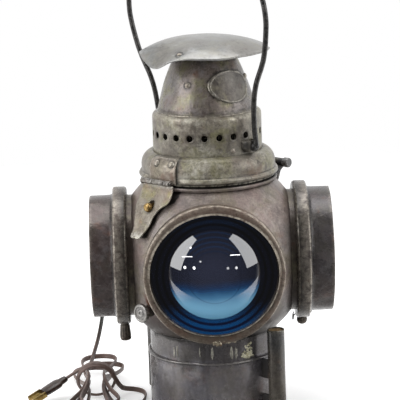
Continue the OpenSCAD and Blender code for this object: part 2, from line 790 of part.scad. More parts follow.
module hasp() {
    side = concat(hasp_bend, reversed([for (p = hasp_bend) p - [plate_t, 0.3]]));
    color([0.52, 0.48, 0.40]) around(front_left) difference() {
        union() {
            intersection() {
                rotate([90, 0, 0]) linear_extrude(height = 60, center = true) polygon(side);
                translate([50, 0, 0]) rotate([90, 0, 90]) linear_extrude(height = 70) polygon(hasp_edge);
            }
            translate([latch_v, 0, latch_z]) rotate([90, 0, 0])
                cylinder(r = latch_barrel_r, h = 2 * hasp_knuckle, center = true, $fn = 32);
        }
        translate([latch_v, 0, latch_z]) rotate([90, 0, 0]) {
            cylinder(r = latch_pin_r + run_fit, h = 60, center = true, $fn = 32);
            for (s = [-1, 1]) translate([0, 0, s * (hasp_knuckle + 10)])
                cylinder(r = latch_barrel_r + 0.4, h = 20, center = true, $fn = 32);
        }
        translate([60, -6.5, 54]) cube([60, 13, 14]);
    }
}

// One leg of the bail as distance from the axis and height above the pivots
bail_leg = [
    [64.2, 0], [65.8, 0.6], [66.6, 2.4], [66.4, 8], [66.2, 18], [67.4, 34], [70, 50],
    [74, 63], [78.8, 73], [83, 81.5], [87, 91], [90.6, 104], [93, 117]];
bail_arc_z = 127;
bail_pin_in = 57.4;
bail_sides = 12;

// Wire bail: straight pins in the ears, waved legs and a round top
module bail() {
    leg = [for (p = bail_leg) [p[0], 0, p[1]]];
    arch = [for (a = [0:7.5:180]) [bail_r * cos(a), 0, bail_arc_z + bail_r * sin(a)]];
    other = [for (p = reversed(bail_leg)) [-p[0], 0, p[1]]];
    color([0.16, 0.16, 0.17]) around(front_right) translate([0, 0, bail_z]) rotate([bail_lean, 0, 0]) {
        for (s = [0, 180]) rotate([0, 0, s]) translate([bail_pin_in, 0, 0]) rotate([0, 90, 0]) {
            cylinder(r = bail_d / 2, h = bail_leg[0][0] - bail_pin_in + 0.2, $fn = 48);
            cylinder(r = bail_d / 2 + 1.2, h = 1.6, $fn = 48);
        }
        tube(concat(leg, arch, other), bail_d / 2, bail_d / 2, [0, 1, 0], bail_sides);
    }
}

// Cord

drop_route = [
    [-84, 84, 145], [-88, 88, 144], [-96, 95, 139], [-105, 101, 127], [-111, 104, 108],
    [-116, 105, 86], [-120, 105, 64], [-124, 101, 48], [-128, 91, 37], [-131, 78, 30], [-133, 66, 27]];
hank_x = -125;
hank_y = 45;
hank_reach = 88;
hank_waist = 8;
hank_bulge = 40;
hank_pitch = 6;
hank_start = 80;
hank_floor = 2.75;
waist_lift = 6.6;
waist_span = 25;
hank_fan = 6;

function lift(y) = waist_lift * exp(-pow((y - hank_y) / waist_span, 2));

// A point of the hank's loops, drawn in at the waist and dropping steadily
function loop_point(f) = let (
        a = hank_start + f,
        reach = hank_reach * (1 + 0.06 * sin(f / 2.6)),
        x = -sin(a) * (hank_waist + hank_bulge * pow(cos(a), 2)),
        y = reach * cos(a),
        turn = hank_fan * cos(f / 3),
        z = hank_floor + hank_pitch * (hank_turns - f / 360))
    [hank_x + x * cos(turn) - y * sin(turn), hank_y + x * sin(turn) + y * cos(turn),
     z + lift(hank_y + y)];

wrap_a = 19.6;
wrap_b = 17;
wrap_y = 40;
wrap_pitch = 9;
wrap_mid = 19.75;

function wrap_point(f) = [
    hank_x + wrap_a * cos(f), wrap_y + wrap_pitch * f / 360, wrap_mid + wrap_b * sin(f)];

wrap_start = 15;
wrap_end = 495;
bight = [
    [-100, -26, 2.85], [-87, -8, 2.75], [-78, 11, 2.75], [-74, 29, 2.75], [-74, 44, 2.75],
    [-77.5, 54.5, 2.85], [-85.5, 58.5, 3.75], [-93.5, 55.5, 5.75], [-98.5, 48, 9.75],
    [-102, 43, 15.75]];
tail = [[-144.6, 53.8, 28.45], [-149, 53.6, 25.45], [-153, 52, 23.25], [-157, 49.6, 21.45]];
hank_route = concat(
    [for (f = [0:15:hank_turns * 360 - 1]) loop_point(f)],
    curve(bight, 2),
    [for (f = [wrap_start:20:wrap_end]) wrap_point(f)],
    curve(tail, 2));

// Radius of the cord's flat section seen along u, with width direction w and run t
function section(u, t, w) = norm([cord_w / 2 * (u * w), cord_t / 2 * (u * cross(t, w))]);

// The least clear distance between turns of a cord, measured between its points
function least_gap(p, apart) = let (t = tangents(p), w = carry(t, [1, 0, 0]))
    min([for (i = [0:len(p) - 1 - apart], j = [i + apart:len(p) - 1]) let (d = p[j] - p[i], u = unit(d))
        norm(d) - section(u, t[i], w[i]) - section(u, t[j], w[j])]);

module cord_drop() {
    color([0.43, 0.35, 0.33]) tube(curve(concat(drop_route, [loop_point(0)]), 3), cord_w / 2, cord_t / 2,
        [1, 1, 0], 8);
}

module cord_hank() {
    echo(least_gap_mm = least_gap(curve(hank_route, 4), 12));
    color([0.43, 0.35, 0.33]) tube(hank_route, cord_w / 2, cord_t / 2, [1, 0, 0], 6);
}

plug_len = 30;

module at_plug() {
    a = tail[len(tail) - 2];
    b = tail[len(tail) - 1];
    d = b - a;
    translate(b) rotate([0, -atan2(d[2], norm([d[0], d[1]])), atan2(d[1], d[0])]) children();
}

module plug_body() {
    color([0.22, 0.16, 0.13]) at_plug() difference() {
        union() {
            rotate([90, 0, 90]) linear_extrude(height = 9) polygon(ellipse_points(4.6, 3.6, 24));
            translate([9, 0, 0]) rotate([90, 0, 90]) linear_extrude(height = plug_len - 9)
                polygon(ellipse_points(8.5, 4.1, 32));
        }
        for (s = [-1, 1]) translate([plug_len - 8, s * 6.35 - 0.75, -3.2]) cube([10, 1.5, 6.4]);
    }
}

module plug_blades() {
    color([0.80, 0.70, 0.42]) at_plug() for (s = [-1, 1])
        translate([plug_len - 8, s * 6.35 - 0.75, -3.2]) cube([8 + 16, 1.5, 6.4]);
}

globe_shell();
globe_rim();
base_tube();
base_sleeve();
base_pan();
neck(-90);  // neck_front
neck(0);  // neck_right
neck(90);  // neck_back
neck(180);  // neck_left
lens_gaskets();
lens(-90, [0.05, 0.25, 0.50, 0.8]);  // lens_front
lens(0, [0.55, 0.05, 0.06, 0.8]);  // lens_right
lens(90, [0.05, 0.25, 0.50, 0.8]);  // lens_back
lens(180, [0.55, 0.05, 0.06, 0.8]);  // lens_left
band(-90, view_d / 2);  // band_front
band(0, hood_r - sheet);  // band_right
band(90, view_d / 2);  // band_back
band(180, hood_r - sheet);  // band_left
hood(0);  // hood_right
hood(180);  // hood_left
fork_socket(front_right);  // fork_socket_front
fork_socket(back_left);  // fork_socket_back
socket_plugs();
socket_webs();
hinge_body_leaf();
hinge_pin();
latch_stud();
knob_bush();
body_rivets();
seal_wire();
holder_plate();
holder_nipple();
holder_nut();
holder_cap();
holder_shell();
bulb_cap();
bulb_glass();
inner_lead();
strain_relief();
wick_knob();
wick_shaft();
thumb_screw(180, 3.9, 5.6, 21);  // thumb_screw_left
thumb_screw(0, 4.8, 5, 9.5);  // thumb_screw_right
lid_dome();
vent_ring();
chimney();
top_cap();
cap_legs();
lid_rivets();
badge_plate();
hinge_lid_leaf();
latch_leaf();
latch_pin();
bail_ears();
hasp();
bail();
cord_drop();
cord_hank();
plug_body();
plug_blades();
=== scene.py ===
import math
import random

import bmesh
import bpy
from mathutils import Matrix, Vector, noise


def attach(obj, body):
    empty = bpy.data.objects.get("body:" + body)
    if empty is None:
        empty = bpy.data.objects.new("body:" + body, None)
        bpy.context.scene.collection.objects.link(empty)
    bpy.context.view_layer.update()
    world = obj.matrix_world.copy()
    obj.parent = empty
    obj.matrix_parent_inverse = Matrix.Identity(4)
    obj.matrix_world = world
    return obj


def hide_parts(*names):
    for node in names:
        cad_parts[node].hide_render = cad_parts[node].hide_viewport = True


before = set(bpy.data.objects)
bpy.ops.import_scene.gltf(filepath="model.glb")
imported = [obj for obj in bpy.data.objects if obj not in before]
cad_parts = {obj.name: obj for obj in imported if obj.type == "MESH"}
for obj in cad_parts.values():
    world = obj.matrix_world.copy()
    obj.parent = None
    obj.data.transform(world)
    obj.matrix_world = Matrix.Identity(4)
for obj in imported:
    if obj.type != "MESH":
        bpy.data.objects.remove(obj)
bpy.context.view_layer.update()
print("frame loaded")

mm = 0.001
lensHeight = 165
smoothAngle = math.radians(38)
frontRight, backRight, backLeft, frontLeft = -45, 45, 135, 225
front, right, back, left = -90, 0, 90, 180
ports = ((front, "front"), (back, "back"), (right, "right"), (left, "left"))

# noise_vector takes its offsets from the clock unless it is given a seed
noiseSeed = 1795688894
noise.seed_set(noiseSeed)

# Camera

cameraSetup = dict(focal=180.0, sensor=36.0, distance=2.03, elevation=12.0, yaw=0.9, roll=1.9, aim=(0, 0, 0.219),
                   shift=-0.02375)


def placeCamera(setup):
    data = bpy.data.cameras.new("viewCamera")
    data.sensor_width = setup["sensor"]
    data.lens = setup["focal"]
    data.shift_x = setup["shift"]
    camera = bpy.data.objects.new("viewCamera", data)
    bpy.context.scene.collection.objects.link(camera)
    elevation, yaw, roll = (math.radians(setup[k]) for k in ("elevation", "yaw", "roll"))
    aim = Vector(setup["aim"])
    toEye = Vector((-math.sin(yaw) * math.cos(elevation), -math.cos(yaw) * math.cos(elevation), math.sin(elevation)))
    side = (-toEye).cross(Vector((0, 0, 1))).normalized()
    up = side.cross(-toEye)
    across = side * math.cos(roll) - up * math.sin(roll)
    upright = side * math.sin(roll) + up * math.cos(roll)
    turn = Matrix((across, upright, toEye)).transposed().to_4x4()
    camera.matrix_world = Matrix.Translation(aim + toEye * setup["distance"]) @ turn
    bpy.context.scene.camera = camera


placeCamera(cameraSetup)
bpy.context.scene.view_settings.view_transform = "Standard"
print("camera placed")

# Node helpers


def tone(red, green, blue):
    linear = [c / 255 / 12.92 if c <= 10.3 else ((c / 255 + 0.055) / 1.055) ** 2.4 for c in (red, green, blue)]
    return (*linear, 1.0)


# Links or sets inputs by name, with "_" for a space, or by number as n0, n1 and so on
def setInputs(tree, node, **sockets):
    for key, value in sockets.items():
        numbered = key[0] == "n" and key[1:].isdigit()
        socket = node.inputs[int(key[1:]) if numbered else key.replace("_", " ")]
        if isinstance(value, bpy.types.NodeSocket):
            tree.links.new(value, socket)
        else:
            socket.default_value = value


def addNode(tree, kind, settings=None, **sockets):
    node = tree.nodes.new(kind)
    for key, value in (settings or {}).items():
        setattr(node, key, value)
    setInputs(tree, node, **sockets)
    return node


def calc(tree, operation, first, second=0.0, third=None, clamp=False):
    sockets = dict(n0=first, n1=second) if third is None else dict(n0=first, n1=second, n2=third)
    return addNode(tree, "ShaderNodeMath", dict(operation=operation, use_clamp=clamp), **sockets).outputs[0]


def blendColors(tree, factor, first, second, mode="MIX"):
    node = addNode(tree, "ShaderNodeMix", dict(data_type="RGBA", blend_type=mode), n0=factor, n6=first, n7=second)
    return node.outputs[2]


def ramp(tree, value, low, high, outLow=0.0, outHigh=1.0):
    node = addNode(tree, "ShaderNodeMapRange", dict(interpolation_type="SMOOTHSTEP"), Value=value, From_Min=low,
                   From_Max=high, To_Min=outLow, To_Max=outHigh)
    return node.outputs[0]


def cloud(tree, vector, scale, detail=4.0, roughness=0.6):
    return addNode(tree, "ShaderNodeTexNoise", Vector=vector, Scale=scale, Detail=detail,
                   Roughness=roughness).outputs[0]


def stretch(tree, vector, scale=(1, 1, 1), move=(0, 0, 0)):
    return addNode(tree, "ShaderNodeMapping", Vector=vector, Scale=scale, Location=move).outputs[0]


def axes(tree, vector):
    return addNode(tree, "ShaderNodeSeparateXYZ", Vector=vector).outputs


def attribute(tree, name):
    return addNode(tree, "ShaderNodeAttribute", dict(attribute_name=name)).outputs["Fac"]


def bumps(tree, strength, distance, height):
    return addNode(tree, "ShaderNodeBump", Strength=strength, Distance=distance, Height=height).outputs[0]


def newGroup(name, inputs, outputs):
    tree = bpy.data.node_groups.new(name, "ShaderNodeTree")
    kinds = dict(v="NodeSocketVector", f="NodeSocketFloat", c="NodeSocketColor")
    for label, kind in inputs:
        tree.interface.new_socket(label, in_out="INPUT", socket_type=kinds[kind])
    for label, kind in outputs:
        tree.interface.new_socket(label, in_out="OUTPUT", socket_type=kinds[kind])
    source = tree.nodes.new("NodeGroupInput")
    target = tree.nodes.new("NodeGroupOutput")
    return tree, source.outputs, target.inputs


def useGroup(tree, group, **sockets):
    return addNode(tree, "ShaderNodeGroup", dict(node_tree=group), **sockets).outputs


# Aged sheet metal: clouds of two tints, pale bloom, dark runs, rust spots and rubbed edges
# the rubbed edges also carry painted highlight, and the near-black dirt also carries painted shade
def buildAgedGroup():
    tints = [(label, "c") for label in ("Base", "Warm", "Olive", "Pale", "Rust", "Edge")]
    amounts = [(label, "f") for label in ("Warm Amount", "Olive Amount", "Pale Amount", "Run Amount", "Blotch Amount",
                                          "Rust Amount", "Wear", "Grime", "Rusty", "Grain", "Gloss", "Matt")]
    tree, given, out = newGroup("agedMetal", [("Vector", "v")] + tints + amounts,
                                [("Color", "c"), ("Roughness", "f"), ("Height", "f")])
    vector = given["Vector"]
    warm = calc(tree, "MULTIPLY", ramp(tree, cloud(tree, vector, 15, 5), 0.4, 0.62), given["Warm Amount"])
    bloomWide = ramp(tree, cloud(tree, stretch(tree, vector, move=(3, 1, 2)), 22, 4), 0.38, 0.66)
    bloomFine = ramp(tree, cloud(tree, vector, 120, 6, 0.7), 0.36, 0.68)
    pale = calc(tree, "MULTIPLY", calc(tree, "MULTIPLY", bloomWide, bloomFine), given["Pale Amount"])
    runs = ramp(tree, cloud(tree, stretch(tree, vector, (1, 1, 0.14)), 130, 5, 0.65), 0.5, 0.74)
    runs = calc(tree, "MULTIPLY", runs, given["Run Amount"])
    rustWide = cloud(tree, stretch(tree, vector, move=(7, 4, 1)), 26, 8, 0.72)
    rust = calc(tree, "MULTIPLY", ramp(tree, rustWide, 0.55, 0.68), given["Rust Amount"])
    local = ramp(tree, calc(tree, "MULTIPLY_ADD", cloud(tree, vector, 90, 6, 0.7), 0.9, given["Rusty"]), 0.72, 1.1)
    rust = calc(tree, "MAXIMUM", rust, local)
    oliveCloud = ramp(tree, cloud(tree, stretch(tree, vector, move=(8, 3, 6)), 44, 6, 0.7), 0.46, 0.62)
    olive = calc(tree, "MULTIPLY", oliveCloud, given["Olive Amount"])
    blotch = ramp(tree, cloud(tree, stretch(tree, vector, move=(1, 7, 9)), 62, 8, 0.74), 0.53, 0.68)
    pits = ramp(tree, cloud(tree, stretch(tree, vector, move=(4, 4, 2)), 300, 3, 0.6), 0.6, 0.7, 0.0, 0.7)
    scuffs = ramp(tree, cloud(tree, stretch(tree, vector, (1, 1, 2.6), (6, 1, 4)), 140, 7, 0.72), 0.57, 0.68, 0.0, 0.8)
    blotch = calc(tree, "MAXIMUM", calc(tree, "MAXIMUM", blotch, pits), scuffs)
    blotch = calc(tree, "MULTIPLY", blotch, given["Blotch Amount"])
    grain = cloud(tree, vector, 420, 4, 0.6)
    speckle = cloud(tree, stretch(tree, vector, move=(2, 9, 5)), 900, 3, 0.5)
    chipped = ramp(tree, cloud(tree, stretch(tree, vector, move=(5, 2, 8)), 210, 6, 0.7), 0.35, 0.6)
    wear = calc(tree, "MULTIPLY", given["Wear"], chipped, clamp=True)
    scratch = ramp(tree, cloud(tree, stretch(tree, vector, (0.16, 0.16, 1), (1, 6, 3)), 520, 3, 0.5), 0.66, 0.76)
    color = blendColors(tree, warm, given["Base"], given["Warm"])
    color = blendColors(tree, olive, color, given["Olive"])
    color = blendColors(tree, pale, color, given["Pale"])
    dark = blendColors(tree, 1.0, color, (0.36, 0.35, 0.36, 1), "MULTIPLY")
    color = blendColors(tree, calc(tree, "MAXIMUM", runs, blotch), color, dark)
    color = blendColors(tree, rust, color, given["Rust"])
    # near-black for dirt and for painted shade in gaps and recesses
    sootAndShade = calc(tree, "MULTIPLY_ADD", chipped, 0.35, given["Grime"])
    most = calc(tree, "MINIMUM", calc(tree, "MULTIPLY", given["Grime"], 4.0), 0.93)
    sootAndShade = calc(tree, "MULTIPLY", ramp(tree, sootAndShade, 0.1, 1.1), most)
    color = blendColors(tree, sootAndShade, color, (0.008, 0.0075, 0.007, 1))
    color = blendColors(tree, calc(tree, "MULTIPLY", scratch, 0.3), color, given["Edge"])
    # edge colour for rubbed edges and for painted highlight on the front and back rings
    color = blendColors(tree, wear, color, given["Edge"])
    dapple = ramp(tree, calc(tree, "ADD", calc(tree, "MULTIPLY", grain, 0.6), calc(tree, "MULTIPLY", speckle, 0.4)),
                  0.25, 0.75, 0.72, 1.28)
    tree.links.new(blendColors(tree, given["Grain"], color, dapple, "MULTIPLY"), out["Color"])
    matt = calc(tree, "MULTIPLY_ADD", bloomFine, 0.5, calc(tree, "MULTIPLY", rust, 0.9), clamp=True)
    span = calc(tree, "SUBTRACT", given["Matt"], given["Gloss"])
    rough = calc(tree, "MULTIPLY_ADD", matt, span, given["Gloss"])
    tree.links.new(calc(tree, "SUBTRACT", rough, calc(tree, "MULTIPLY", wear, 0.12), clamp=True), out["Roughness"])
    relief = calc(tree, "MULTIPLY_ADD", grain, 0.3, calc(tree, "MULTIPLY", speckle, 0.12))
    relief = calc(tree, "MULTIPLY_ADD", rust, 0.35, relief)
    relief = calc(tree, "MULTIPLY_ADD", cloud(tree, vector, 55, 3), 1.2, relief)
    tree.links.new(calc(tree, "SUBTRACT", relief, calc(tree, "MULTIPLY", wear, 0.2)), out["Height"])
    return tree


# Soft band between two heights of the object
def buildBandGroup():
    tree, given, out = newGroup("heightBand", [("Vector", "v"), ("Low", "f"), ("High", "f"), ("Ragged", "f")],
                                [("Mask", "f")])
    shaken = calc(tree, "SUBTRACT", cloud(tree, given["Vector"], 40, 5), 0.5)
    height = calc(tree, "MULTIPLY_ADD", shaken, given["Ragged"], axes(tree, given["Vector"])[2])
    tree.links.new(ramp(tree, height, given["Low"], given["High"]), out["Mask"])
    return tree


agedGroup = buildAgedGroup()
bandGroup = buildBandGroup()


def newMaterial(name):
    material = bpy.data.materials.new(name)
    material.use_nodes = True
    tree = material.node_tree
    shader = tree.nodes["Principled BSDF"]
    place = addNode(tree, "ShaderNodeTexCoord").outputs["Object"]
    return material, tree, shader, place


# Colours are base, warm and olive tints, pale bloom, rust and rubbed edge; a dark band fades in between two heights
agedDefaults = dict(
    base=(120, 110, 104), warm=(132, 106, 94), pale=(158, 154, 142), rust=(112, 66, 40), edge=(170, 162, 150),
    olive=(134, 128, 104), warmAmount=0.6, oliveAmount=0.45, paleAmount=0.6, runAmount=0.4, blotchAmount=0.55,
    rustAmount=0.25, grain=1.0, gloss=0.3, matt=0.62, metallic=0.35, bump=0.4, stain=[])


def agedMaterial(name, **changes):
    finish = dict(agedDefaults, **changes)
    material, tree, shader, place = newMaterial(name)
    # the wear attribute also carries painted highlight, and the grime attribute also carries painted shade
    given = {key.capitalize(): attribute(tree, key) for key in ("wear", "grime", "rusty")}
    given.update({key.capitalize(): tone(*finish[key]) for key in ("base", "warm", "olive", "pale", "rust", "edge")})
    given.update({key.capitalize(): finish[key] for key in ("grain", "gloss", "matt")})
    for key in ("warm", "olive", "pale", "run", "blotch", "rust"):
        given[key.capitalize() + "_Amount"] = finish[key + "Amount"]
    aged = useGroup(tree, agedGroup, Vector=place, **given)
    color = aged["Color"]
    for low, high, ragged, tint, amount in finish["stain"]:
        mask = useGroup(tree, bandGroup, Vector=place, Low=low * mm, High=high * mm, Ragged=ragged)["Mask"]
        color = blendColors(tree, calc(tree, "MULTIPLY", mask, amount), color, tone(*tint))
    setInputs(tree, shader, Base_Color=color, Roughness=aged["Roughness"], Metallic=finish["metallic"],
              Normal=bumps(tree, finish["bump"], 0.0012, aged["Height"]))
    return material


def plainMaterial(name, base, shade, rough, scale=300, bump=0.2, metallic=0.0):
    material, tree, shader, place = newMaterial(name)
    grain = cloud(tree, place, scale, 5)
    color = blendColors(tree, ramp(tree, grain, 0.35, 0.65), tone(*base), tone(*shade))
    setInputs(tree, shader, Base_Color=color, Metallic=metallic, Normal=bumps(tree, bump, 0.0005, grain),
              Roughness=ramp(tree, cloud(tree, place, scale * 0.3, 4), 0.3, 0.7, rough * 0.8, rough * 1.2))
    return material


# Pressed coloured glass: dark above with painted light coming through low down, and the moulded rings seen as fine
# arcs.
# Heights in metres, radii in millimetres
lensLook = dict(
    domeEdge=(44.3, 45.4), shake=0.01, domeMid=(0.142, 0.163), domeBright=(0.13, 0.155), rimMid=(0.105, 0.137),
    rimTop=(0.203, 0.216), rimTopAmount=0.08, hazeFrom=8, hazeTo=42, hazeLeast=0.35, upperPitch=1.5, upperAmount=0.16,
    upperHeight=(0.178, 0.196), upperRadius=(20, 28), linePitch=0.97, arcRadius=26, arcWidth=(0.1, 1.1), arcLeast=0.7)


def glassMaterial(name, deep, hazy, mid, bright, rings, coat=1.0, look=lensLook):
    material, tree, shader, place = newMaterial(name)
    deep, hazy, mid, bright, rings = (tone(*color) for color in (deep, hazy, mid, bright, rings))
    height = axes(tree, place)[2]
    radius = attribute(tree, "lensRadius")
    inDome = ramp(tree, radius, *look["domeEdge"], 1.0, 0.0)
    inRim = calc(tree, "SUBTRACT", 1.0, inDome)
    shaken = calc(tree, "MULTIPLY_ADD", calc(tree, "SUBTRACT", cloud(tree, place, 24, 2), 0.5), look["shake"], height)
    # painted light: mid blue and bright low down, where light comes through
    domeMid, domeBright, rimMid = (ramp(tree, shaken, *look[key], 1.0, 0.0)
                                   for key in ("domeMid", "domeBright", "rimMid"))
    middle = calc(tree, "ADD", calc(tree, "MULTIPLY", domeMid, inDome), calc(tree, "MULTIPLY", rimMid, inRim))
    # painted highlight: a faint mid-blue band along the top of the rim
    rimTop = calc(tree, "MULTIPLY", ramp(tree, shaken, *look["rimTop"], 0.0, look["rimTopAmount"]), inRim)
    middle = calc(tree, "ADD", middle, rimTop, clamp=True)
    haze = ramp(tree, radius, look["hazeFrom"], look["hazeTo"], 1.0, look["hazeLeast"])
    haze = calc(tree, "MULTIPLY", haze, inDome)
    color = blendColors(tree, middle, blendColors(tree, haze, deep, hazy), mid)
    color = blendColors(tree, calc(tree, "MULTIPLY", domeBright, inDome), color, bright)
    # painted highlight: faint mid-blue arcs above the dome's middle
    waves = calc(tree, "SINE", calc(tree, "MULTIPLY", radius, look["upperPitch"]))
    upper = ramp(tree, waves, 0.2, 1.0, 0.0, look["upperAmount"])
    above = calc(tree, "MULTIPLY", ramp(tree, shaken, *look["upperHeight"]), ramp(tree, radius, *look["upperRadius"]))
    upper = calc(tree, "MULTIPLY", calc(tree, "MULTIPLY", upper, above), inDome)
    color = blendColors(tree, upper, color, mid)
    steps = calc(tree, "SINE", calc(tree, "MULTIPLY", radius, look["linePitch"]))
    lines = ramp(tree, steps, -1.0, 0.5)
    fromArc = calc(tree, "ABSOLUTE", calc(tree, "SUBTRACT", radius, look["arcRadius"]))
    arcs = ramp(tree, fromArc, *look["arcWidth"], look["arcLeast"], 1.0)
    shade = calc(tree, "MULTIPLY_ADD", arcs, inDome, calc(tree, "MULTIPLY", lines, inRim))
    color = blendColors(tree, 1.0, color, blendColors(tree, shade, rings, (1, 1, 1, 1)), "MULTIPLY")
    dust = ramp(tree, cloud(tree, place, 160, 6, 0.7), 0.5, 0.8, 0.02, 0.12)
    ripple = bumps(tree, 0.08, 0.0006, cloud(tree, place, 28, 2))
    setInputs(tree, shader, Base_Color=color, Roughness=dust, IOR=1.5, Transmission_Weight=0.3, Coat_Weight=coat,
              Coat_IOR=2.0, Coat_Roughness=0.015, Normal=ripple, Coat_Normal=ripple)
    return material


